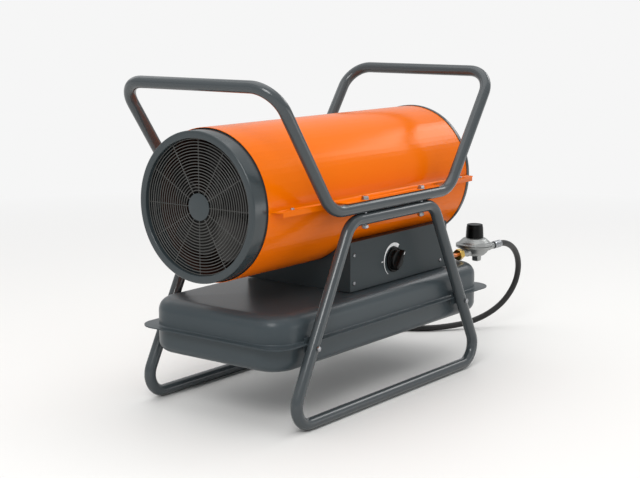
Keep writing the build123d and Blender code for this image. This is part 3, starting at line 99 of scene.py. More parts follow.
class HeaterSizes(bpy.types.PropertyGroup):
    """Sizes of the pieces made here, in metres"""

    tube_radius: size("Frame Tube Radius", "Half the tube's outside diameter", 0.0125)
    rail_bend: size("Rail Bend", "Bend radius where the risers leave the side rails", 0.070)
    grip_bend: size("Grip Bend", "Bend radius at the carrying bars", 0.058)
    leg_top_bend: size("Leg Top Bend", "Bend radius at the top of the legs", 0.048)
    leg_foot_bend: size("Leg Foot Bend", "Bend radius at the feet", 0.042)
    guard_wire: size("Guard Wire", "Diameter of the guard's wire", 0.002)
    guard_rings: count("Guard Rings", "Rings of the guard", 18, 3)
    guard_spokes: count("Guard Spokes", "Spokes of the guard", 12, 3)
    fan_blades: count("Fan Blades", "Blades of the fan", 5, 2)
    tank_crown: size("Tank Crown", "How far the stamped top falls to its edges", 0.0026)
    hose_diameter: size("Hose Diameter", "Outside diameter of the gas hose", 0.015)


class HeaterFinishes(bpy.types.PropertyGroup):
    """Colours of the heater's finishes"""

    enamel: colour("Enamel", "Gloss enamel of the barrel", "#E36A00")
    coat: colour("Powder Coat", "Anthracite powder coat of box and collar", "#30383B")
    # painted light: the tank's coat is a lighter copy of the anthracite coat, standing in for the
    # bright floor that its sides reflect
    tank_coat: colour("Tank Coat", "Anthracite powder coat of the tank", "#3C4448")
    frame_coat: colour("Frame Coat", "Anthracite powder coat of the tube frame", "#3B4144")
    wire_coat: colour("Wire Coat", "Grey coat of the finger guard", "#454543")
    # painted shade: the dark red brown called primer here stands in for the shade inside the barrel
    primer: colour("Primer", "Primer on the barrel's inner side", "#3C1E12")
    plastic: colour("Knob Plastic", "Moulded plastic of knob and cap", "#070808")
    rubber: colour("Hose Rubber", "Rubber of the gas hose", "#0F0E0E")
    ink: colour("Dial Ink", "Screen print of the dial", "#E4E6E7")
    brass: colour("Brass", "Machined brass", "#EBC468")
    casting: colour("Casting", "Die cast aluminium", "#989A99")
    zinc: colour("Zinc", "Zinc plated steel", "#9A9C9F")
    floor: colour("Floor", "Studio floor", "#E4E3E1")


# ---- finishes --------------------------------------------------------------------------------
METAL = {"metal": 1.0}

# each finish by its slot: its name, its colour (one of the properties above, or sRGB), how far
# that colour spreads, its grain's width and depth in millimetres, the range of its roughness, and
# what else finish_of takes
FINISHES = {
    # sprayed enamel on rolled sheet: gloss, and long soft waves where the sheet gives
    "orange_enamel": (
        "sprayed_enamel", "enamel", 0.03, 3.0, 0.003, (0.16, 0.22),
        {"wave_mm": 110, "wave_depth": 0.12, "Specular IOR Level": 0.14,
         "Specular Tint": linear("#FFB000")},
    ),
    # painted shade inside the barrel: a matt dark red brown that stands in for the shade there,
    # uneven in broad patches
    "barrel_painted_shade": ("baked_primer", "primer", 0.12, 4.0, 0.02, (0.5, 0.65), {}),
    # polyester powder coat: satin, with the faint orange peel of baked powder; the peel's real
    # cells are about 0.6 mm wide and are drawn at 2.5 mm, so that they show
    # its colour is lighter than the box's coat, as painted light for the floor that the tank's
    # sides reflect
    "tank_coat": (
        "polyester_powder_coat", "tank_coat", 0.05, 2.5, 0.006, (0.26, 0.34),
        {"wave_mm": 70, "wave_depth": 0.25, "Specular IOR Level": 0.26},
    ),
    # the folded box took its powder thinner, so that it is duller
    "box_coat": (
        "satin_powder_coat", "coat", 0.05, 2.5, 0.01, (0.36, 0.46), {"Specular IOR Level": 0.2},
    ),
    # the collar's coat flowed out smoother: it shows the room as soft bands
    "collar_coat": ("smooth_powder_coat", "coat", 0.04, 3.5, 0.002, (0.2, 0.26), {}),
    # powder on drawn tube: the smoothest and glossiest of the coats
    "frame_coat": ("powder_coated_tube", "frame_coat", 0.04, 2.5, 0.004, (0.16, 0.22), {}),
    # the guard was dipped: a dull coat, a little uneven along the wire
    "guard_coat": ("dipped_wire_coat", "wire_coat", 0.05, 1.5, 0.01, (0.36, 0.46), {}),
    # pressed aluminium: dull, with the streaks of rolling along the sheet; its grey is darkened far
    # below the metal's own, as painted shade for the dark inside of the barrel
    "fan_aluminium": (
        "rolled_aluminium_sheet", "#3C3B3A", 0.06, 2.0, 0.01, (0.42, 0.56),
        {"metal": 1.0, "stretch": (1, 1, 6)},
    ),
    # stoving paint on the motor's can: black and dull
    "motor_paint": ("black_stoving_paint", "#1E1F21", 0.08, 2.0, 0.02, (0.4, 0.5), {}),
    # turned steel: bright, with fine tool marks
    "bright_steel": ("turned_steel", "#B4B6B8", 0.04, 0.8, 0.01, (0.24, 0.34), METAL),
    # zinc plating: bright and slightly blue, with the mottle of passivation
    "zinc_fasteners": ("zinc_plating", "zinc", 0.1, 1.2, 0.01, (0.22, 0.32), METAL),
    # heat resisting sheet: rolled and grey, dull where it has been warm
    "heat_steel": ("heat_resisting_sheet", "#8C8A88", 0.12, 3.0, 0.02, (0.4, 0.55), METAL),
    # drawn copper: reddish, dulled in patches by handling
    "copper_pipe": ("drawn_copper", "#C07A52", 0.08, 2.0, 0.01, (0.26, 0.36), METAL),
    # moulded ABS: black, with the fine spark texture of its mould, drawn at 0.9 mm
    "knob_plastic": (
        "moulded_abs", "plastic", 0.08, 0.9, 0.006, (0.28, 0.36), {"Specular IOR Level": 0.14},
    ),
    # moulded polyamide of the inner parts: dark grey and matt
    "inner_plastic": ("moulded_polyamide", "#232426", 0.06, 1.5, 0.015, (0.45, 0.55), {}),
    # machined brass: bright, with fine turning marks
    "brass_fittings": ("machined_brass", "brass", 0.06, 0.7, 0.008, (0.18, 0.28), METAL),
    # die casting: light grey aluminium, with the slight orange peel of the die's skin
    "regulator_casting": (
        "die_cast_aluminium", "casting", 0.05, 1.8, 0.03, (0.36, 0.48), METAL,
    ),
    # moulded rubber of feet and grommets: black and matt
    "rubber_parts": ("moulded_rubber", "#1C1B1B", 0.08, 1.5, 0.02, (0.5, 0.62), {}),
    # extruded hose rubber: matt, with faint dust brown in its black
    "hose_rubber": ("extruded_hose_rubber", "rubber", 0.1, 2.2, 0.02, (0.46, 0.58), {}),
    # screen printed ink: flat white, slightly uneven where it is thin
    "dial_ink": ("screen_print_ink", "ink", 0.03, 1.0, 0.005, (0.5, 0.6), {}),
}
FINISHES["valve_casting"] = FINISHES["regulator_casting"]
FINISHES["cap_plastic"] = FINISHES["knob_plastic"]
FINISHES["ferrule_steel"] = FINISHES["zinc_fasteners"]


def put(tree, kind, inputs=None, **settings):
    """Add one node with its settings and its inputs, each a value, another node's output, or a
    node, which stands for its first output.
    """
    node = tree.nodes.new(kind)
    for name, value in settings.items():
        setattr(node, name, value)
    for name, value in (inputs or {}).items():
        if isinstance(value, bpy.types.Node):
            value = value.outputs[0]
        if isinstance(value, bpy.types.NodeSocket):
            tree.links.new(value, node.inputs[name])
        else:
            node.inputs[name].default_value = value
    return node


def empty_tree(holder):
    """The emptied node tree of a material or a world."""
    holder.use_nodes = True
    holder.node_tree.nodes.clear()
    return holder.node_tree


def finish_of(name, base, spread, grain_mm, grain_depth, rough, metal=0.0, wave_mm=0, wave_depth=0,
              stretch=(1, 1, 1), **shader):
    """A finish: its colour spread over broad patches, its grain and waves as bump, and the range
    of its roughness. Grain and waves are given by their real widths in millimetres.
    """
    material = bpy.data.materials.new(name)
    tree = empty_tree(material)
    where = put(tree, "ShaderNodeTexCoord").outputs["Object"]
    stretched = put(tree, "ShaderNodeMapping", {"Vector": where, "Scale": stretch})
    patches = put(tree, "ShaderNodeTexNoise", {"Vector": where, "Scale": 9.0, "Detail": 3.0})
    darker = [c * (1 - spread) for c in base[:3]] + [1.0]
    lighter = [min(1.0, c * (1 + spread)) for c in base[:3]] + [1.0]
    shade = put(tree, "ShaderNodeMix", {0: patches, 6: darker, 7: lighter}, data_type="RGBA")
    grain = put(
        tree, "ShaderNodeTexNoise", {"Vector": stretched, "Scale": 1000 / grain_mm, "Detail": 2.0}
    )
    roughness = put(
        tree, "ShaderNodeMapRange", {"Value": grain, "To Min": rough[0], "To Max": rough[1]}
    )
    bump = put(
        tree, "ShaderNodeBump", {"Height": grain, "Strength": 1.0, "Distance": grain_depth / 1000}
    )
    if wave_mm:
        waves = put(
            tree, "ShaderNodeTexNoise", {"Vector": where, "Scale": 1000 / wave_mm, "Detail": 1.0}
        )
        bump = put(
            tree, "ShaderNodeBump",
            {"Height": waves, "Strength": 1.0, "Distance": wave_depth / 1000, "Normal": bump},
        )
    surface = put(
        tree, "ShaderNodeBsdfPrincipled",
        {"Base Color": shade.outputs[2], "Roughness": roughness, "Metallic": metal,
         "Normal": bump, **shader},
    )
    put(tree, "ShaderNodeOutputMaterial", {"Surface": surface})
    return material


def finish(slot):
    """A slot's finish, made when it is first asked for."""
    name, base, *numbers, more = FINISHES[slot]
    if name in bpy.data.materials:
        return bpy.data.materials[name]
    chosen = bpy.context.scene.heater_finishes
    base = linear(base) if base.startswith("#") else getattr(chosen, base)
    return finish_of(name, base, *numbers, **more)


# ---- shapes ----------------------------------------------------------------------------------
def placed(name, data):
    """A new object in the scene."""
    holder = bpy.data.objects.new(name, data)
    bpy.context.scene.collection.objects.link(holder)
    return holder


def made(builder, name):
    """The builder's mesh, with its faces turned outwards."""
    bmesh.ops.recalc_face_normals(builder, faces=builder.faces)
    mesh = bpy.data.meshes.new(name)
    builder.to_mesh(mesh)
    builder.free()
    return mesh


def keep(name, shape, slot, node=None, body="root", sharp=35):
    """Make a piece of a mesh or a builder: its finish, its body and the node it stands for."""
    mesh = made(shape, name) if isinstance(shape, bmesh.types.BMesh) else shape
    mesh.shade_smooth()
    mesh.set_sharp_from_angle(angle=radians(sharp))
    mesh.materials.clear()
    mesh.materials.append(finish(slot))
    piece = placed(name, mesh)
    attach(piece, body)
    if node:
        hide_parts(node)
    return piece


def settled(holder):
    """The mesh that an object's modifiers make; the object itself goes."""
    depsgraph = bpy.context.evaluated_depsgraph_get()
    mesh = bpy.data.meshes.new_from_object(
        holder.evaluated_get(depsgraph), preserve_all_data_layers=True, depsgraph=depsgraph
    )
    bpy.data.objects.remove(holder)
    return mesh


def cut_away(mesh, cutter, overlapping=False):
    """The mesh less what the cutter's builder holds, whose blocks may overlap."""
    holder, tool = placed("blank", mesh), placed("cutter", made(cutter, "cutter"))
    cut = holder.modifiers.new("cut", "BOOLEAN")
    cut.object = tool
    cut.operation = "DIFFERENCE"
    cut.solver = "EXACT"
    cut.use_self = overlapping
    rest = settled(holder)
    bpy.data.objects.remove(tool)
    return rest


def merged(node):
    """A builder with a CAD node's own mesh, its loose triangles joined."""
    builder = bmesh.new()
    builder.from_mesh(frame["nodes"][node].data)
    bmesh.ops.remove_doubles(builder, verts=builder.verts, dist=2e-6)
    return builder


def rounded(corners, steps):
    """The places along a flat line whose corners (along, out, radius) are turned to arcs."""
    places = []
    for i, (x, y, r) in enumerate(corners):
        here = Vector((x, y))
        if i in (0, len(corners) - 1) or not r:
            places.append(here)
            continue
        back = (Vector(corners[i - 1][:2]) - here).normalized()
        on = (Vector(corners[i + 1][:2]) - here).normalized()
        half = back.angle(on) / 2
        reach = r / abs(sin(half) / cos(half))
        middle = here + (back + on).normalized() * (r / sin(half))
        start = here + back * reach - middle
        sweep = (here + on * reach - middle).angle_signed(start)
        for step in range(steps + 1):
            places.append(middle + Matrix.Rotation(sweep * step / steps, 2) @ start)
    return places


def square_to(direction):
    """A direction of length one, and two more that stand square to it."""
    ahead = Vector(direction).normalized()
    side = ahead.orthogonal().normalized()
    return ahead, side, ahead.cross(side)


def turn(builder, corners, origin, direction, steps=96, closed=True, arc_steps=6):
    """Spin a line of corners (along, out, radius) about an axis, and add it to the builder."""
    ahead, side, up = square_to(direction)
    places = rounded(corners, arc_steps)
    if places[0] == places[-1]:
        places.pop()
    rings = []
    for along, out in places:
        middle = Vector(origin) + ahead * along
        if out < 1e-7:
            rings.append([builder.verts.new(middle)] * steps)
            continue
        angles = [tau * i / steps for i in range(steps)]
        rings.append(
            [builder.verts.new(middle + side * (out * cos(a)) + up * (out * sin(a)))
             for a in angles]
        )
    pairs = list(zip(rings, rings[1:])) + ([(rings[-1], rings[0])] if closed else [])
    for first, second in pairs:
        for i in range(steps):
            j = (i + 1) % steps
            corner_verts = dict.fromkeys((first[i], first[j], second[j], second[i]))
            if len(corner_verts) > 2:
                builder.faces.new(list(corner_verts))


def skin(builder, loops, caps=True):
    """Join equal loops of places by faces, and cap the two ends."""
    rings = [[builder.verts.new(place) for place in loop] for loop in loops]
    for first, second in zip(rings, rings[1:]):
        for i in range(len(first)):
            j = (i + 1) % len(first)
            builder.faces.new((first[i], first[j], second[j], second[i]))
    if caps:
        builder.faces.new(list(reversed(rings[0])))
        builder.faces.new(rings[-1])


def hexagon_loop(flats, limit, steps=48):
    """A hexagon's outline, cut to a circle of the limit's radius at its corners."""
    loop = []
    for i in range(steps):
        angle = tau * i / steps
        edge = flats / 2 / cos((angle + pi / 6) % (pi / 3) - pi / 6)
        reach = min(edge, limit)
        loop.append((reach * cos(angle), reach * sin(angle)))
    return loop


def hexagon(builder, flats, length, origin, direction, bore=0.0):
    """A nut or bolt head with chamfered corners, with a bore if it has one."""
    ahead, side, up = square_to(direction)
    inner = flats / 2 * 0.96
    corner = flats / 2 / cos(pi / 6)
    drop = (corner - inner) * 0.58
    levels = [(drop * t, inner + (corner - inner) * t) for t in (0, 0.35, 0.7, 1)]
    levels += [(length - z, limit) for z, limit in reversed(levels)]
    if bore:
        levels += [(length, bore), (0, bore)]
    loops = [
        [Vector(origin) + ahead * z + side * x + up * y for x, y in hexagon_loop(flats, limit)]
        for z, limit in levels
    ]
    skin(builder, loops + loops[:1] if bore else loops, caps=not bore)
    if bore:
        bmesh.ops.remove_doubles(builder, verts=builder.verts, dist=1e-7)


def rounded_loop(middle, half_x, half_y, corner, z, arc_steps=10, side_steps=8):
    """A rounded rectangle's places at a height, as many on every loop."""
    signs = ((1, 1), (-1, 1), (-1, -1), (1, -1), (1, 1))

    def place(quarter, angle):
        x = middle.x + signs[quarter][0] * (half_x - corner) + corner * cos(angle)
        y = middle.y + signs[quarter][1] * (half_y - corner) + corner * sin(angle)
        return Vector((x, y, z))

    loop = []
    for quarter in range(4):
        for step in range(arc_steps + 1):
            loop.append(place(quarter, pi / 2 * (quarter + step / arc_steps)))
        start, end = loop[-1], place(quarter + 1, pi / 2 * (quarter + 1))
        loop += [start.lerp(end, step / side_steps) for step in range(1, side_steps)]
    return loop


# ---- node trees for what repeats or follows a path -------------------------------------------
def new_tree(name, sizes):
    """A geometry tree with named inputs, each (label, kind, default)."""
    tree = bpy.data.node_groups.new(name, "GeometryNodeTree")
    face = tree.interface
    face.new_socket("Geometry", in_out="INPUT", socket_type="NodeSocketGeometry")
    for label, kind, default in sizes:
        socket = face.new_socket(label, in_out="INPUT", socket_type="NodeSocket" + kind)
        if default is not None:
            socket.default_value = default
    face.new_socket("Geometry", in_out="OUTPUT", socket_type="NodeSocketGeometry")
    return tree, put(tree, "NodeGroupInput").outputs


def close_tree(tree, geometry, material):
    """End a tree with real geometry and its finish."""
    real = put(tree, "GeometryNodeRealizeInstances", {"Geometry": geometry})
    smooth = put(tree, "GeometryNodeSetShadeSmooth", {"Geometry": real})
    painted = put(tree, "GeometryNodeSetMaterial", {"Geometry": smooth, "Material": material})
    put(tree, "NodeGroupOutput", {"Geometry": painted})


def grown(mesh, tree, values):
    """The plain mesh that a tree makes of a start mesh with these values."""
    holder = placed("start", mesh)
    modifier = holder.modifiers.new(tree.name, "NODES")
    modifier.node_group = tree
    for item in tree.interface.items_tree:
        if item.item_type == "SOCKET" and item.in_out == "INPUT" and item.name in values:
            modifier[item.identifier] = values[item.name]
    return settled(holder)


def bent_tube_tree():
    """Tube bent along a closed line of corners, each with its own bend radius."""
    tree, given = new_tree(
        "bent_tube",
        [("Tube Radius", "Float", 0.0125), ("Round Steps", "Int", 32), ("Bend Steps", "Int", 14),
         ("Finish", "Material", None)],
    )
    bend = put(tree, "GeometryNodeInputNamedAttribute", {"Name": "bend"}, data_type="FLOAT")
    line = put(tree, "GeometryNodeMeshToCurve", {"Mesh": given["Geometry"]})
    bent = put(
        tree, "GeometryNodeFilletCurve",
        {"Curve": line, "Count": given["Bend Steps"], "Radius": bend}, mode="POLY",
    )
    section = put(
        tree, "GeometryNodeCurvePrimitiveCircle",
        {"Resolution": given["Round Steps"], "Radius": given["Tube Radius"]},
    )
    tube = put(tree, "GeometryNodeCurveToMesh", {"Curve": bent, "Profile Curve": section})
    close_tree(tree, tube, given["Finish"])
    return tree


def guard_tree():
    """Concentric wire rings on spokes, round the line that the guard faces along."""
    tree, given = new_tree(
        "wire_guard",
        [("Rings", "Int", 18), ("Spokes", "Int", 12), ("First Radius", "Float", 0.0335),
         ("Last Radius", "Float", 0.135), ("Spoke Start", "Float", 0.026),
         ("Wire Radius", "Float", 0.001), ("Spoke Depth", "Float", 0.0016),
         ("Place", "Vector", None), ("Finish", "Material", None)],
    )
    first, last, depth = (given[name] for name in ("First Radius", "Last Radius", "Spoke Depth"))
    number = put(tree, "GeometryNodeInputIndex")
    # the rings grow by equal steps from the first radius to the last
    gap = put(tree, "ShaderNodeMath", {0: last, 1: first}, operation="SUBTRACT")
    gaps = put(tree, "ShaderNodeMath", {0: given["Rings"], 1: 1.0}, operation="SUBTRACT")
    pitch = put(tree, "ShaderNodeMath", {0: gap, 1: gaps}, operation="DIVIDE")
    radius = put(
        tree, "ShaderNodeMath", {0: number, 1: pitch, 2: first}, operation="MULTIPLY_ADD"
    )
    ring = put(tree, "GeometryNodeCurvePrimitiveCircle", {"Resolution": 96, "Radius": 1.0})
    ring_marks = put(tree, "GeometryNodePoints", {"Count": given["Rings"]})
    rings = put(
        tree, "GeometryNodeInstanceOnPoints",
        {"Points": ring_marks, "Instance": ring, "Scale": radius},
    )
    # the spokes stand at equal turns
    part = put(tree, "ShaderNodeMath", {0: tau, 1: given["Spokes"]}, operation="DIVIDE")
    angle = put(tree, "ShaderNodeMath", {0: number, 1: part}, operation="MULTIPLY")
    turned_by = put(tree, "ShaderNodeCombineXYZ", {"Z": angle})
    start = put(tree, "ShaderNodeCombineXYZ", {"X": given["Spoke Start"], "Z": depth})
    end = put(tree, "ShaderNodeCombineXYZ", {"X": last, "Z": depth})
    spoke = put(tree, "GeometryNodeCurvePrimitiveLine", {"Start": start, "End": end})
    spoke_marks = put(tree, "GeometryNodePoints", {"Count": given["Spokes"]})
    spokes = put(
        tree, "GeometryNodeInstanceOnPoints",
        {"Points": spoke_marks, "Instance": spoke, "Rotation": turned_by},
    )
    lines = put(tree, "GeometryNodeJoinGeometry")
    for copies in (rings, spokes):
        tree.links.new(copies.outputs[0], lines.inputs[0])
    real = put(tree, "GeometryNodeRealizeInstances", {"Geometry": lines})
    section = put(
        tree, "GeometryNodeCurvePrimitiveCircle",
        {"Resolution": 10, "Radius": given["Wire Radius"]},
    )
    wire = put(
        tree, "GeometryNodeCurveToMesh",
        {"Curve": real, "Profile Curve": section, "Fill Caps": True},
    )
    facing = put(
        tree, "GeometryNodeTransform",
        {"Geometry": wire, "Translation": given["Place"], "Rotation": (0, radians(90), 0)},
    )
    close_tree(tree, facing, given["Finish"])
    return tree


def round_copies_tree():
    """Copies of a piece in equal turns about the line along X through a place."""
    tree, given = new_tree(
        "copies_in_a_ring",
        [("Count", "Int", 5), ("Place", "Vector", None), ("Finish", "Material", None)],
    )
    number = put(tree, "GeometryNodeInputIndex")
    part = put(tree, "ShaderNodeMath", {0: tau, 1: given["Count"]}, operation="DIVIDE")
    angle = put(tree, "ShaderNodeMath", {0: number, 1: part}, operation="MULTIPLY")
    turned_by = put(tree, "ShaderNodeCombineXYZ", {"X": angle})
    marks = put(tree, "GeometryNodePoints", {"Count": given["Count"]})
    copies = put(
        tree, "GeometryNodeInstanceOnPoints",
        {"Points": marks, "Instance": given["Geometry"], "Rotation": turned_by},
    )
    moved = put(
        tree, "GeometryNodeTransform", {"Geometry": copies, "Translation": given["Place"]}
    )
    close_tree(tree, moved, given["Finish"])
    return tree


def set_in_places_tree():
    """One fastener set at every place of the start mesh, turned as the place says."""
    tree, given = new_tree(
        "fasteners_in_places", [("Fastener", "Object", None), ("Finish", "Material", None)]
    )
    turned_by = put(
        tree, "GeometryNodeInputNamedAttribute", {"Name": "turn"}, data_type="FLOAT_VECTOR"
    )
    shape = put(tree, "GeometryNodeObjectInfo", {"Object": given["Fastener"]}).outputs["Geometry"]
    copies = put(
        tree, "GeometryNodeInstanceOnPoints",
        {"Points": given["Geometry"], "Instance": shape, "Rotation": turned_by},
    )
    close_tree(tree, copies, given["Finish"])
    return tree


# ---- pieces ----------------------------------------------------------------------------------
class HEATER_OT_camera(bpy.types.Operator):
    """Set up the camera at the photograph's viewing angle"""

    bl_idname = "heater.camera"
    bl_label = "Camera"

    def execute(self, context):
        azimuth, elevation, distance = radians(-52.57), radians(9.85), 2.9957
        target = Vector((MIDDLE_X + 0.00582, 0, 0.32411))
        level = cos(elevation)
        back = Vector((sin(azimuth) * level, -cos(azimuth) * level, sin(elevation)))
        lens = bpy.data.cameras.new("camera")
        lens.lens, lens.sensor_width = 76.23, 36.0
        camera = placed("camera", lens)
        camera.rotation_mode = "QUATERNION"
        camera.location = target + back * distance
        camera.rotation_quaternion = (-back).to_track_quat("-Z", "Y")
        context.scene.camera = camera
        return {"FINISHED"}


class HEATER_OT_gas_hose(bpy.types.Operator):
    """Lay the gas hose from the regulator to its put away coil, with its crimped sleeves"""

    bl_idname = "heater.gas_hose"
    bl_label = "Gas Hose"

    def execute(self, context):
        radius = context.scene.heater_sizes.hose_diameter / 2
        route = [
            (HOSE_X, GAS_Y, GAS_Z), (0.607, GAS_Y, GAS_Z), (0.680, -0.114, 0.218),
            (0.727, -0.101, 0.168), (0.726, -0.090, 0.111), (0.697, -0.062, 0.055),
            (0.649, -0.010, 0.0155), (0.564, 0.047, radius), (0.520, 0.105, radius),
            (0.486, 0.168, radius), (0.466, 0.233, radius), (0.460, 0.303, radius),
            *coil_places(radius),
        ]
        line = bpy.data.curves.new("gas_hose", "CURVE")
        line.dimensions = "3D"
        line.bevel_depth = radius
        line.bevel_resolution = line.resolution_u = 6
        line.use_fill_caps = True
        spline = line.splines.new("NURBS")
        spline.points.add(len(route) - 1)
        for point, (x, y, z) in zip(spline.points, route):
            point.co = (MIDDLE_X + x, y, z, 1)
        spline.order_u = 3
        spline.use_endpoint_u = True
        line.materials.append(finish("hose_rubber"))
        hose = placed("gas_hose", line)
        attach(hose, "root")
        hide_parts("hose_run", "hose_coil")

        for node, ahead in (("hose_ferrule", X_WAY), ("connector_ferrule", Y_WAY)):
            low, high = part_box(node)
            length = (high - low).dot(ahead)
            builder = bmesh.new()
            turn(
                builder, sleeve_corners(length, (high - low).z / 2, radius),
                (low + high) / 2 - ahead * length / 2, ahead, steps=48, arc_steps=3,
            )
            keep(node + "_sleeve", builder, "ferrule_steel", node)

        # the connector's nut, with a web behind its bore
        low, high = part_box("cylinder_connector")
        middle = (low + high) / 2
        start = (middle.x, low.y, middle.z)
        bore, web_r = 0.0109, 0.0112
        builder = bmesh.new()
        hexagon(builder, 0.027, 0.022, start, Y_WAY, bore)
        turn(
            builder, [(0.0085, 0, 0), (0.0085, web_r, 0), (0.0065, web_r, 0), (0.0065, 0, 0)],
            start, Y_WAY, steps=48,
        )
        nut = keep("cylinder_nut", builder, "brass_fittings", "cylinder_connector")
        return {"FINISHED"}


def coil_places(radius):
    """The put away coil's places, 16 to a turn: one and a half turns in, and half a turn out."""
    middle_x, middle_y, first_r, step = 0.372, 0.318, 0.088, 0.0165
    turns, per_turn = 2, 16
    end_z = 2 * radius + 0.0138
    # a control place lies a little outside the line that it shapes
    bow = 1 / cos(pi / per_turn)
    places = []
    for i in range(turns * per_turn + 1):
        done = i / per_turn
        r = first_r - step * min(done, 3 - done)
        climb = min(max((done - 1.25) / 0.5, 0), 1)
        last = min(max((done - 1.75) / 0.25, 0), 1)
        z = radius + step * (1 - cos(pi * climb)) / 2
        z += (end_z - radius - step) * (1 - cos(pi * last)) / 2
        angle = tau * done
        places.append((middle_x + r * bow * cos(angle), middle_y + r * bow * sin(angle), z))
    places.append((middle_x + first_r - step, middle_y + 0.015, end_z))
    return places


def sleeve_corners(length, outer, bore):
    """A crimped sleeve's corners from its start: two shallow grooves and turned in ends."""
    edge = deep = 0.0008
    corners = [(0, bore, 0), (0, outer, edge)]
    for middle in (0.4, 0.72):
        for share, drop in ((-0.07, 0), (-0.04, deep), (0.04, deep), (0.07, 0)):
            corners.append((length * (middle + share), outer - drop, edge))
    return corners + [(length, outer, edge), (length, bore, 0)]


class HEATER_OT_carrying_frame(bpy.types.Operator):
    """Bend the carrying frame and the two leg frames from steel tube"""

    bl_idname = "heater.carrying_frame"
    bl_label = "Tube Frame"

    def execute(self, context):
        sizes = context.scene.heater_sizes
        rail_x, grip_x, grip_z = 0.217, 0.395, 0.683
        leg_top_x, foot_x = 0.154, 0.358
        loop = []
        for end, side in ((1, -1), (1, 1), (-1, 1), (-1, -1)):
            low = ((end * rail_x, side * SIDE_Y, RAIL_Z), sizes.rail_bend)
            high = ((end * grip_x, side * SIDE_Y, grip_z), sizes.grip_bend)
            loop += [low, high] if (end, side) in ((1, -1), (-1, 1)) else [high, low]
        # the legs' tops lie under the rails, as near as two coated tubes may
        leg_top_z = RAIL_Z - 2 * sizes.tube_radius - 0.0003
        lines = {"handle_frame": loop}
        for node, y in (("near_leg_frame", -SIDE_Y), ("far_leg_frame", SIDE_Y)):
            lines[node] = [
                ((-leg_top_x, y, leg_top_z), sizes.leg_top_bend),
                ((leg_top_x, y, leg_top_z), sizes.leg_top_bend),
                ((foot_x, y, sizes.tube_radius), sizes.leg_foot_bend),
                ((-foot_x, y, sizes.tube_radius), sizes.leg_foot_bend),
            ]
        tree = bent_tube_tree()
        for node, corners in lines.items():
            mesh = bpy.data.meshes.new(node)
            edges = [(i, (i + 1) % len(corners)) for i in range(len(corners))]
            mesh.from_pydata([(MIDDLE_X + x, y, z) for (x, y, z), _ in corners], edges, [])
            bends = mesh.attributes.new("bend", "FLOAT", "POINT")
            bends.data.foreach_set("value", [bend for _, bend in corners])
            values = {"Tube Radius": sizes.tube_radius, "Finish": finish("frame_coat")}
            keep(node + "_tube", grown(mesh, tree, values), "frame_coat", node)
        return {"FINISHED"}


class HEATER_OT_barrel(bpy.types.Operator):
    """Enamel the two half shells and turn the intake collar and the outlet trim"""

    bl_idname = "heater.barrel"
    bl_label = "Barrel"

    def execute(self, context):
        for node in ("upper_shell", "lower_shell"):
            shell = keep(node + "_sheet", merged(node), "orange_enamel", node)
            # the faces inside the barrel take the dark red brown painted shade
            shell.data.materials.append(finish("barrel_painted_shade"))
            for face in shell.data.polygons:
                out = face.center - BARREL
                out.x = 0
                inside = out.length < SHELL_R - 0.0005 and face.normal.dot(out) < -0.7 * out.length
                face.material_index = int(inside)

        sheet = 0.0012
        low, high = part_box("intake_collar")
        length = high.x - low.x
        outer, seat, mouth_depth = 0.152, SHELL_R - 0.0013, 0.014
        builder = bmesh.new()
        turn(
            builder,
            [(mouth_depth, MOUTH_R, 0), (0, MOUTH_R, 0.0022), (0, outer, 0.0036),
             (0.0385, outer, 0.002), (0.0435, seat, 0.002), (length, seat, 0),
             (length, seat - sheet, 0), (0.0440, seat - sheet, 0.002),
             (0.0390, outer - sheet, 0.002), (sheet, outer - sheet, 0.0024),
             (sheet, MOUTH_R + sheet, 0.001), (mouth_depth, MOUTH_R + sheet, 0)],
            (low.x, 0, BARREL.z), X_WAY, steps=144,
        )
        keep("pressed_collar", builder, "collar_coat", "intake_collar")

        low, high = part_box("outlet_ring")
        length = high.x - low.x
        outer = (high.z - low.z) / 2
        inner, turned_in = outer - sheet, outer - 0.009
        builder = bmesh.new()
        turn(
            builder,
            [(0, inner, 0), (0, outer, 0.0004), (length, outer, 0.0014),
             (length, turned_in, 0.0005), (length - sheet, turned_in, 0.0005),
             (length - sheet, inner, 0.0004), (0, inner, 0)],
            (low.x, 0, BARREL.z), X_WAY, steps=144, arc_steps=3,
        )
        keep("outlet_trim", builder, "collar_coat", "outlet_ring")
        return {"FINISHED"}


class HEATER_OT_finger_guard(bpy.types.Operator):
    """Weld the finger guard of wire rings and spokes, with its middle disc"""

    bl_idname = "heater.finger_guard"
    bl_label = "Finger Guard"

    def execute(self, context):
        sizes = context.scene.heater_sizes
        front_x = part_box("finger_guard")[0].x
        wire = sizes.guard_wire / 2
        disc_r, disc, edge = 0.0275, 0.0018, 0.0008
        builder = bmesh.new()
        turn(
            builder, [(0, 0, 0), (0, disc_r, edge), (disc, disc_r, edge), (disc, 0, 0)],
            (front_x + 0.0004, 0, BARREL.z), X_WAY, steps=72, closed=False, arc_steps=4,
        )
        keep("guard_disc", builder, "collar_coat")
        guard = grown(
            bpy.data.meshes.new("finger_guard"), guard_tree(),
            {
                "Rings": sizes.guard_rings,
                "Spokes": sizes.guard_spokes,
                "First Radius": 0.0335,
                "Last Radius": MOUTH_R - 0.0003 - wire,
                "Spoke Start": disc_r - 0.002,
                "Wire Radius": wire,
                "Spoke Depth": 2 * wire - 0.0004,
                "Place": (front_x + wire, 0, BARREL.z),
                "Finish": finish("guard_coat"),
            },
        )
        keep("wire_guard", guard, "guard_coat", "finger_guard")
        return {"FINISHED"}


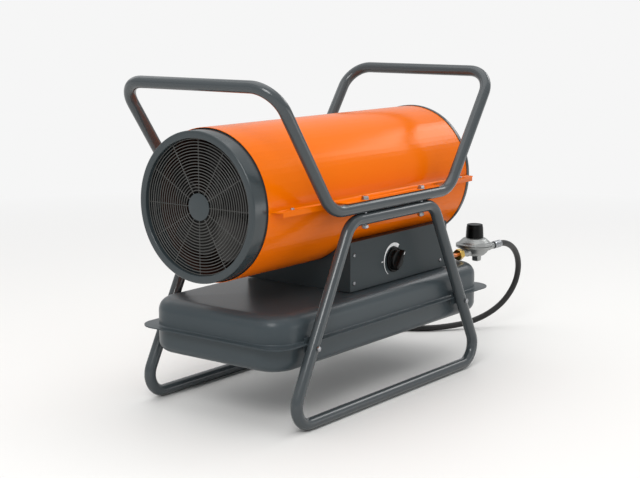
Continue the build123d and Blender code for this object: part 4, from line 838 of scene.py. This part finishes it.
class HEATER_OT_fan(bpy.types.Operator):
    """Press the fan's twisted blades and rivet them to the hub"""

    bl_idname = "heater.fan"
    bl_label = "Fan"

    def execute(self, context):
        low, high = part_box("fan_rotor")
        place = Vector(((low.x + high.x) / 2, 0, BARREL.z))
        blades = grown(
            blade_mesh(0.020, (high.z - low.z) / 2), round_copies_tree(),
            {"Count": context.scene.heater_sizes.fan_blades, "Place": place,
             "Finish": finish("fan_aluminium")},
        )
        builder = bmesh.new()
        builder.from_mesh(blades)
        hub, neck_r, hub_r = 0.013, 0.012, 0.024
        turn(
            builder,
            [(-hub, 0, 0), (-hub, neck_r, 0.001), (-hub + 0.004, neck_r, 0.001),
             (-hub + 0.004, hub_r, 0.003), (hub, hub_r, 0.001), (hub, 0, 0)],
            place, X_WAY, steps=64, closed=False,
        )
        keep("fan", builder, "fan_aluminium", "fan_rotor", body="fan")
        return {"FINISHED"}


def blade_mesh(root_r, tip_r):
    """One blade standing up from the axis: twisted from root to tip, hollowed a little, with
    rounded corners at its tip.
    """
    rows, columns, sheet = 22, 20, 0.0016
    # chord and pitch at the root, halfway and at the tip
    stations = [(0.040, 46.0), (0.078, 32.0), (0.096, 23.0)]
    builder = bmesh.new()
    verts = []
    for i in range(rows + 1):
        share = i / rows
        r = root_r + (tip_r - root_r) * share
        part = 0 if share < 0.5 else 1
        (chord, pitch), (next_chord, next_pitch) = stations[part : part + 2]
        chord += (next_chord - chord) * (share * 2 - part)
        pitch = radians(pitch + (next_pitch - pitch) * (share * 2 - part))
        # the corners at the tip round off over the last quarter
        over = max(0.0, (share - 0.72) / 0.28)
        chord *= 1 - over**2.4 * 0.42
        row = []
        for j in range(columns + 1):
            across = (j / columns - 0.5) * chord
            hollow = 0.004 * (1 - (2 * j / columns - 1) ** 2)
            x = across * sin(pitch) + hollow * cos(pitch)
            y = across * cos(pitch) - hollow * sin(pitch)
            reach = min(r, (tip_r**2 - y**2) ** 0.5 if share > 0.9 else r)
            row.append(builder.verts.new((x, y, reach)))
        verts.append(row)
    for low, high in zip(verts, verts[1:]):
        for j in range(columns):
            builder.faces.new((low[j], low[j + 1], high[j + 1], high[j]))
    # the sheet grows its thickness along its normals, so they are worked out first
    builder.normal_update()
    bmesh.ops.solidify(builder, geom=builder.faces, thickness=sheet)
    return made(builder, "fan_blade")


class HEATER_OT_base_tank(bpy.types.Operator):
    """Stamp the two halves of the base tank with their seam flanges"""

    bl_idname = "heater.base_tank"
    bl_label = "Base Tank"

    def execute(self, context):
        crown = context.scene.heater_sizes.tank_crown
        lip, lip_corner, corner = 0.017, 0.046, 0.062
        sheet, root_r = 0.0012, 0.003
        for node, out, round_r in (("tank_upper", 1, 0.027), ("tank_lower", -1, 0.022)):
            low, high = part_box(node)
            seam = low.z if out > 0 else high.z
            height = high.z - low.z
            middle = (low + high) / 2
            half_x, half_y = (high.x - low.x) / 2 - lip, (high.y - low.y) / 2 - lip
            # how far each loop lies inside the wall and out from the seam: the flange, its root,
            # the wall, the stamped edge and the crowned face
            levels = [(-lip, 0.0001), (-lip, sheet)]
            for angle in (pi / 2 * step / 4 for step in range(5)):
                levels.append((-root_r * (1 - sin(angle)), sheet + root_r * (1 - cos(angle))))
            for angle in (pi / 2 * step / 8 for step in range(9)):
                rise = height - crown - round_r * (1 - sin(angle))
                levels.append((round_r * (1 - cos(angle)), rise))
            for share in (0.1, 0.25, 0.45, 0.7, 0.92):
                inset = round_r + (half_y - round_r) * share
                levels.append((inset, height - crown * (1 - share) ** 2))
            loops = [
                rounded_loop(
                    middle, half_x - inset, half_y - inset,
                    lip_corner if inset == -lip else max(corner - inset, 0.006), seam + out * rise,
                )
                for inset, rise in levels
            ]
            builder = bmesh.new()
            skin(builder, loops)
            stamping = cut_away(made(builder, node), leg_notches(seam))
            keep(node + "_stamping", stamping, "tank_coat", node, sharp=40)
        return {"FINISHED"}


def leg_notches(seam):
    """Four blocks where the seam flange is cut away behind the leg brackets."""
    builder = bmesh.new()
    notch_x, notch_y, width, reach, height = 0.27357, 0.1852, 0.034, 0.030, 0.02
    for side_x in (-1, 1):
        for side_y in (-1, 1):
            for vert in bmesh.ops.create_cube(builder, size=1.0)["verts"]:
                vert.co.x = MIDDLE_X + side_x * notch_x + vert.co.x * width
                vert.co.y = side_y * (notch_y + reach / 2) + vert.co.y * reach
                vert.co.z = seam + vert.co.z * height
    return builder


class HEATER_OT_control_box(bpy.types.Operator):
    """Round the edges of the control box's front panel, and print the dial on it"""

    bl_idname = "heater.control_box"
    bl_label = "Control Box"

    def execute(self, context):
        builder = merged("control_panel")
        bmesh.ops.dissolve_limit(
            builder, angle_limit=radians(0.5), verts=builder.verts, edges=builder.edges
        )
        mesh = bpy.data.meshes.new("panel_plate")
        builder.to_mesh(mesh)
        builder.free()
        holder = placed("panel_blank", mesh)
        edge = holder.modifiers.new("edge", "BEVEL")
        edge.width = 0.0008
        edge.segments = 2
        edge.limit_method = "ANGLE"
        edge.angle_limit = radians(40)
        plate = keep("panel_plate", settled(holder), "box_coat", "control_panel")
        # the plate's whole faces are flat right up to their rounded edges
        for face in plate.data.polygons:
            face.use_smooth = face.area < 2e-5

        # the dial: an arc that widens clockwise from seven to one o'clock, and a mark at nine
        panel_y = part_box("control_panel")[0].y
        centre_x = MIDDLE_X + KNOB_X
        start, end, steps = radians(235), radians(55), 48
        rims = [[], []]
        for share in (i / steps for i in range(steps + 1)):
            angle = start + (end - start) * share
            width = 0.0012 + 0.0088 * share**1.6
            for rim, r in zip(rims, (0.0370, 0.0370 - width)):
                rim.append((centre_x + r * cos(angle), KNOB_Z + r * sin(angle)))
        far, near, half = centre_x - 0.0460, centre_x - 0.0395, 0.0010
        mark = [(far, KNOB_Z - half), (near, KNOB_Z - half), (near, KNOB_Z + half),
                (far, KNOB_Z + half)]
        builder = bmesh.new()
        for outline in (rims[0] + rims[1][::-1], mark):
            skin(
                builder,
                [[Vector((x, panel_y - up, z)) for x, z in outline] for up in (-0.00005, 0.00012)],
            )
        dial = keep("dial_print", builder, "box_coat")
        dial.data.materials[0] = finish("dial_ink")
        return {"FINISHED"}


class HEATER_OT_control_knob(bpy.types.Operator):
    """Mould the control knob with its grip and its white mark"""

    bl_idname = "heater.control_knob"
    bl_label = "Control Knob"

    def execute(self, context):
        low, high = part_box("control_knob")
        length = high.y - low.y
        centre = Vector((MIDDLE_X + KNOB_X, high.y, KNOB_Z))
        out = -Y_WAY
        skirt_r, skirt, body_r, body = 0.028, 0.004, 0.022, 0.012
        builder = bmesh.new()
        turn(
            builder,
            [(0, 0, 0), (0, skirt_r, 0.0006), (skirt, skirt_r - 0.0006, 0.0016),
             (skirt, body_r, 0.0015), (body, body_r - 0.0012, 0.0022), (body, 0, 0)],
            centre, out, steps=72, closed=False,
        )
        # the grip bar points to one o'clock; its flanks run out into the body
        tilt = radians(90 - 35)
        along = Vector((cos(tilt), 0, sin(tilt)))
        across = Vector((-sin(tilt), 0, cos(tilt)))
        loops = []
        for share, half_long, half_wide in (
            (0.19, 0.0250, 0.0075), (0.40, 0.0249, 0.0070), (0.56, 0.0248, 0.0068),
            (0.62, 0.0247, 0.0060), (0.82, 0.0244, 0.0054), (0.93, 0.0240, 0.0051),
            (0.985, 0.0230, 0.0044), (1.0, 0.0212, 0.0030),
        ):
            loop = []
            for angle in (tau * i / 48 for i in range(48)):
                c, s = cos(angle), sin(angle)
                x = abs(c) ** 0.55 * half_long * (1 if c >= 0 else -1)
                y = abs(s) ** 0.75 * half_wide * (1 if s >= 0 else -1)
                loop.append(centre + out * (length * share) + along * x + across * y)
            loops.append(loop)
        skin(builder, loops)
        keep("knob", builder, "knob_plastic", "control_knob", body="knob", sharp=50)

        # the mark is inlaid in the pointer's end
        near, far, half = 0.0140, 0.0210, 0.0009
        corners = ((near, -half), (far, -half), (far, half), (near, half))
        builder = bmesh.new()
        skin(
            builder,
            [[centre + out * depth + along * x + across * y for x, y in corners]
             for depth in (length - 0.0006, length + 0.00005)],
        )
        mark = keep("knob_mark", builder, "knob_plastic", body="knob")
        mark.data.materials[0] = finish("dial_ink")
        return {"FINISHED"}


def bolt_shape(flats, head, shank_r, shank, washer_r=0.0, washer=0.0):
    """A bolt standing on its washer's underside, with its shank below."""
    builder = bmesh.new()
    if washer:
        turn(
            builder, [(0, 0, 0), (0, washer_r, 0.0003), (washer, washer_r, 0.0003), (washer, 0, 0)],
            (0, 0, 0), Z_WAY, steps=40, closed=False, arc_steps=3,
        )
    hexagon(builder, flats, head, (0, 0, washer), Z_WAY)
    # the shank starts a little inside the head and ends in a chamfer
    inside, chamfer = 0.0005, 0.001
    turn(
        builder,
        [(inside, 0, 0), (inside, shank_r, 0), (chamfer - shank, shank_r, 0),
         (-shank, shank_r - chamfer, 0), (-shank, 0, 0)],
        (0, 0, 0), Z_WAY, steps=24, closed=False,
    )
    return made(builder, "bolt")


def nut_shape(flats, height, bore):
    """A nut that stands up from its place."""
    builder = bmesh.new()
    hexagon(builder, flats, height, (0, 0, 0), Z_WAY, bore)
    return made(builder, "nut")


def leg_screw_shape():
    """A leg screw with its nut behind the bracket."""
    flats, nut, bracket_back = 0.010, 0.0045, 0.0276
    builder = bmesh.new()
    builder.from_mesh(bolt_shape(flats, 0.004, 0.003, bracket_back + nut))
    hexagon(builder, flats, nut, (0, 0, -bracket_back - nut), Z_WAY)
    return made(builder, "leg_screw")


def pan_screw_shape(head_r, head, shank_r, shank):
    """A pan head screw with a cross recess, its head above its place and its shank below."""
    builder = bmesh.new()
    turn(
        builder,
        [(-shank, 0, 0), (-shank, shank_r, 0), (0, shank_r, 0), (0, head_r, 0.0004),
         (head * 0.45, head_r, head * 0.4), (head, head_r * 0.62, head * 0.5), (head, 0, 0)],
        (0, 0, 0), Z_WAY, steps=32, closed=False, arc_steps=4,
    )
    cross = bmesh.new()
    wide, narrow, deep = head_r * 0.62, head_r * 0.16, head * 0.55
    for long_x, long_y in ((wide, narrow), (narrow, wide)):
        for vert in bmesh.ops.create_cube(cross, size=2.0)["verts"]:
            low = vert.co.z < 0
            taper = 0.7 if low else 1.0
            vert.co.x *= long_x * taper
            vert.co.y *= long_y * taper
            vert.co.z = head - deep if low else head * 1.5
    return cut_away(made(builder, "pan_screw"), cross, overlapping=True)


class HEATER_OT_fasteners(bpy.types.Operator):
    """Set the bolts, nuts and screws in their places"""

    bl_idname = "heater.fasteners"
    bl_label = "Fasteners"

    def execute(self, context):
        tree = set_in_places_tree()
        sheet, small_nut = 0.001, 0.004
        flange_z, nut_z = BARREL.z + sheet, 0.3834
        panel_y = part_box("control_panel")[0].y
        leg_x, leg_y, leg_z = 0.27801, 0.2128, 0.1655
        bolts = [(x, y) for x in (-0.104, 0.104) for y in (-SIDE_Y, SIDE_Y)]
        screws = [(x, y) for x in (-0.304, 0.314) for y in (-0.1695, 0.1695)]
        rows = [
            ("frame_bolts",
             bolt_shape(0.013, 0.0053, 0.004, flange_z - nut_z + 0.0015, 0.0085, 0.0014),
             [((x, y, flange_z), Z_WAY) for x, y in bolts]),
            ("frame_nuts", nut_shape(0.013, 0.0065, 0.004),
             [((x, y, nut_z), Z_WAY) for x, y in bolts]),
            ("flange_screws", pan_screw_shape(0.0046, 0.003, 0.0025, 0.0075),
             [((x, y, flange_z), Z_WAY) for x, y in screws]),
            ("flange_nuts", nut_shape(0.008, small_nut, 0.0025),
             [((x, y, BARREL.z - sheet - small_nut), Z_WAY) for x, y in screws]),
            ("leg_screws", leg_screw_shape(),
             [((end * leg_x, side * leg_y, leg_z), Y_WAY * side)
              for end in (-1, 1) for side in (-1, 1)]),
            ("panel_screws", pan_screw_shape(0.0042, 0.0026, 0.002, 0.009),
             [((x, panel_y, z), -Y_WAY) for x in (-0.0615, 0.276) for z in (0.2525, 0.313)]),
        ]
        for number, (node, shape, places) in enumerate(rows):
            template = placed(node + "_shape", shape)
            marks = bpy.data.meshes.new(node)
            marks.from_pydata([(MIDDLE_X + x, y, z) for (x, y, z), _ in places], [], [])
            turns = marks.attributes.new("turn", "FLOAT_VECTOR", "POINT")
            angles = []
            for i, (_, facing) in enumerate(places):
                # each stands at its own angle, as it was tightened
                spin = Matrix.Rotation((number * 1.7 + i * 2.3) % tau, 4, "Z").to_quaternion()
                angles += (Z_WAY.rotation_difference(facing) @ spin).to_euler("XYZ")[:]
            turns.data.foreach_set("vector", angles)
            values = {"Fastener": template, "Finish": finish("zinc_fasteners")}
            mesh = grown(marks, tree, values)
            bpy.data.objects.remove(template)
            keep(node + "_set", mesh, "zinc_fasteners", node)
        return {"FINISHED"}


class HEATER_OT_regulator(bpy.types.Operator):
    """Cast the regulator's two halves and make its cap and the brass union nut"""

    bl_idname = "heater.regulator"
    bl_label = "Regulator"

    def execute(self, context):
        axis_x, joint_z, radius, chamber_r = MIDDLE_X + 0.457, 0.261, 0.045, 0.034
        stand = (axis_x, GAS_Y, joint_z)

        # the lower casting: its bowl, its inlet, its outlet with a hexagon, and a square boss
        builder = bmesh.new()
        turn(
            builder,
            [(-0.0245, 0, 0), (-0.0245, 0.0225, 0.006), (-0.0165, 0.031, 0.004),
             (-0.0060, 0.037, 0.003), (-0.0042, radius, 0.0012), (-0.0005, radius, 0.0008),
             (-0.0005, chamber_r, 0), (-0.0070, chamber_r, 0), (-0.0070, 0, 0)],
            stand, Z_WAY, closed=False,
        )
        pipe_r, inlet, outlet = 0.0085, 0.052, 0.0685
        turn(
            builder,
            [(0, 0, 0), (0, pipe_r, 0), (0.030, pipe_r, 0.002), (0.036, 0.0105, 0.002),
             (inlet, 0.0105, 0), (inlet, 0, 0)],
            (MIDDLE_X + 0.386, GAS_Y, GAS_Z), X_WAY, steps=48, closed=False,
        )
        turn(
            builder,
            [(0, 0, 0), (0, 0.011, 0), (0.024, 0.011, 0.003), (0.034, pipe_r, 0.002),
             (0.058, pipe_r, 0.001), (outlet, 0.0065, 0), (outlet, 0, 0)],
            (MIDDLE_X + 0.548 - outlet, GAS_Y, GAS_Z), X_WAY, steps=48, closed=False,
        )
        hexagon(builder, 0.017, 0.009, (MIDDLE_X + 0.5195, GAS_Y, GAS_Z), X_WAY)
        boss = Vector((MIDDLE_X + 0.468, GAS_Y, 0))
        boss_z = GAS_Z - 0.027
        skin(
            builder,
            [rounded_loop(boss, half, half, corner, z, arc_steps=5, side_steps=2)
             for z, half, corner in (
                 (boss_z, 0.0070, 0.0035), (boss_z + 0.0006, 0.0082, 0.0036),
                 (boss_z + 0.0020, 0.0088, 0.0036), (boss_z + 0.010, 0.0090, 0.0036),
                 (GAS_Z, 0.0092, 0.0036))],
        )
        keep("regulator_lower", builder, "regulator_casting", "regulator_body", sharp=45)

        top, neck_r = 0.0190, 0.0062
        builder = bmesh.new()
        turn(
            builder,
            [(0.0005, chamber_r, 0), (0.0005, radius, 0.0008), (0.0038, radius, 0.0014),
             (0.0050, 0.0385, 0.002), (0.0085, 0.0365, 0.003), (0.0165, 0.0275, 0.008),
             (top, 0.0200, 0.002), (top, neck_r, 0), (0.0130, neck_r, 0), (0.0130, 0.0170, 0),
             (0.0030, chamber_r, 0)],
            stand, Z_WAY,
        )
        keep("regulator_upper", builder, "regulator_casting", "regulator_bonnet", sharp=45)

        # the cap: a tapered moulding with a low rim round its flat top, and its screw's hole
        low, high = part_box("adjusting_cap")
        top, rim, edge = high.z - low.z, 0.0009, 0.0006
        hole_r, hole = 0.0060, 0.020
        builder = bmesh.new()
        turn(
            builder,
            [(0, hole_r, 0), (0, 0.0215, edge), (top * 0.8, 0.0200, edge),
             (top * 0.815, 0.0194, edge), (top - 0.0003, 0.0190, 0.0014), (top, 0.0165, edge),
             (top - rim, 0.0158, edge), (top - rim, 0, 0), (hole, 0, 0), (hole, hole_r, 0)],
            (axis_x, GAS_Y, low.z), Z_WAY,
        )
        keep("pressure_cap", builder, "cap_plastic", "adjusting_cap", body="adjuster")

        low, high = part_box("union_nut")
        builder = bmesh.new()
        hexagon(builder, 0.024, high.x - low.x, (low.x, GAS_Y, GAS_Z), X_WAY, bore=0.00606)
        keep("brass_union", builder, "brass_fittings", "union_nut")
        return {"FINISHED"}


class HEATER_OT_inner_parts(bpy.types.Operator):
    """Give the CAD pieces that stay their finishes"""

    bl_idname = "heater.inner_parts"
    bl_label = "Inner Parts"

    def execute(self, context):
        for part in frame["record"]["subparts"]:
            node = frame["nodes"][part["node"]]
            if not node.hide_render:
                node.data.materials.clear()
                node.data.materials.append(finish(part["material_slot"]))
        return {"FINISHED"}


class HEATER_OT_stage(bpy.types.Operator):
    """Lay the pale floor and hang the soft lights"""

    bl_idname = "heater.stage"
    bl_label = "Stage"

    def execute(self, context):
        scene = context.scene
        scene.view_settings.view_transform = "Standard"
        half, below = 30.0, -0.0003
        mesh = bpy.data.meshes.new("floor")
        corners = [(-half, -half, below), (half, -half, below), (half, half, below),
                   (-half, half, below)]
        mesh.from_pydata(corners, [], [(0, 1, 2, 3)])
        mesh.materials.append(floor_finish())
        placed("floor", mesh)

        # soft light from all round, brighter from above; the camera sees a plain backdrop
        world = bpy.data.worlds.new("studio")
        scene.world = world
        tree = empty_tree(world)
        way = put(tree, "ShaderNodeTexCoord").outputs["Generated"]
        height = put(tree, "ShaderNodeSeparateXYZ", {"Vector": way}).outputs["Z"]
        ramp = put(tree, "ShaderNodeValToRGB", {"Fac": height})
        low, high = ramp.color_ramp.elements
        low.position, low.color = 0.0, (0.56, 0.57, 0.58, 1)
        high.position, high.color = 0.75, (0.95, 0.95, 0.95, 1)
        light = put(tree, "ShaderNodeBackground", {"Color": ramp, "Strength": 0.98})
        backdrop = put(tree, "ShaderNodeBackground", {"Color": linear("#F6F6F6"), "Strength": 1.0})
        seen = put(tree, "ShaderNodeLightPath").outputs["Is Camera Ray"]
        both = put(tree, "ShaderNodeMixShader", {0: seen, 1: light, 2: backdrop})
        put(tree, "ShaderNodeOutputWorld", {"Surface": both})

        middle = Vector((-0.05, 0, 0.35))
        for name, place, width, height, power in (
            ("key_softbox", (-2.3, -1.2, 2.1), 1.1, 1.1, 32),
            ("top_softbox", (0.0, 0.1, 2.9), 3.0, 2.4, 26),
            ("rear_softbox", (0.2, 2.7, 2.3), 1.6, 1.6, 6),
            ("low_softbox", (1.3, -2.6, 0.3), 2.2, 0.6, 6),
            ("side_softbox", (2.5, -0.6, 1.9), 1.2, 0.6, 9),
        ):
            lamp = bpy.data.lights.new(name, "AREA")
            lamp.shape = "RECTANGLE"
            lamp.size, lamp.size_y, lamp.energy = width, height, power
            holder = placed(name, lamp)
            holder.location = place
            holder.rotation_mode = "QUATERNION"
            holder.rotation_quaternion = (middle - Vector(place)).to_track_quat("-Z", "Y")
            holder.visible_camera = False
        return {"FINISHED"}


def floor_finish():
    """A pale studio floor that keeps the heater's shadow and goes to white far away."""
    material = bpy.data.materials.new("studio_floor")
    tree = empty_tree(material)
    where = put(tree, "ShaderNodeTexCoord").outputs["Object"]
    away = put(tree, "ShaderNodeVectorMath", {0: where}, operation="LENGTH").outputs["Value"]
    share = put(
        tree, "ShaderNodeMapRange",
        {"Value": away, "From Min": 0.9, "From Max": 3.2, "To Min": 0.0, "To Max": 1.0},
    )
    rays = put(tree, "ShaderNodeLightPath").outputs
    seen = put(
        tree, "ShaderNodeMath", {0: rays["Is Camera Ray"], 1: rays["Is Glossy Ray"]},
        operation="MAXIMUM",
    )
    through = put(
        tree, "ShaderNodeMath", {0: seen, 1: rays["Is Transmission Ray"]}, operation="MAXIMUM"
    )
    mixed = put(tree, "ShaderNodeMath", {0: share, 1: through}, operation="MULTIPLY")
    grain = put(tree, "ShaderNodeTexNoise", {"Vector": where, "Scale": 3.0, "Detail": 2.0})
    rough = put(tree, "ShaderNodeMapRange", {"Value": grain, "To Min": 0.5, "To Max": 0.6})
    pale = bpy.context.scene.heater_finishes.floor
    surface = put(tree, "ShaderNodeBsdfPrincipled", {"Base Color": pale, "Roughness": rough})
    glow = put(tree, "ShaderNodeEmission", {"Color": linear("#F6F6F6"), "Strength": 1.0})
    both = put(tree, "ShaderNodeMixShader", {0: mixed, 1: surface, 2: glow})
    put(tree, "ShaderNodeOutputMaterial", {"Surface": both})
    return material


class HEATER_PT_pieces(bpy.types.Panel):
    """Lists the heater's pieces, sizes and colours"""

    bl_idname = "HEATER_PT_pieces"
    bl_label = "Forced Air Heater"
    bl_space_type = "VIEW_3D"
    bl_region_type = "UI"
    bl_category = "Heater"

    def draw(self, context):
        for step in STEPS:
            self.layout.operator(step.bl_idname)
        for group in (context.scene.heater_sizes, context.scene.heater_finishes):
            box = self.layout.box()
            for name in group.bl_rna.properties.keys():
                if name not in ("rna_type", "name"):
                    box.prop(group, name)


STEPS = (
    HEATER_OT_camera,
    HEATER_OT_gas_hose,
    HEATER_OT_carrying_frame,
    HEATER_OT_barrel,
    HEATER_OT_finger_guard,
    HEATER_OT_fan,
    HEATER_OT_base_tank,
    HEATER_OT_control_box,
    HEATER_OT_control_knob,
    HEATER_OT_fasteners,
    HEATER_OT_regulator,
    HEATER_OT_inner_parts,
    HEATER_OT_stage,
)
CLASSES = (HeaterSizes, HeaterFinishes, *STEPS, HEATER_PT_pieces)


def register():
    for kind in CLASSES:
        bpy.utils.register_class(kind)
    bpy.types.Scene.heater_sizes = PointerProperty(type=HeaterSizes)
    bpy.types.Scene.heater_finishes = PointerProperty(type=HeaterFinishes)


def unregister():
    del bpy.types.Scene.heater_finishes
    del bpy.types.Scene.heater_sizes
    for kind in reversed(CLASSES):
        bpy.utils.unregister_class(kind)


def main():
    """Build the heater and its stage."""
    register()
    for step in STEPS:
        getattr(bpy.ops.heater, step.bl_idname.removeprefix("heater."))()


if __name__ == "__main__":
    main()
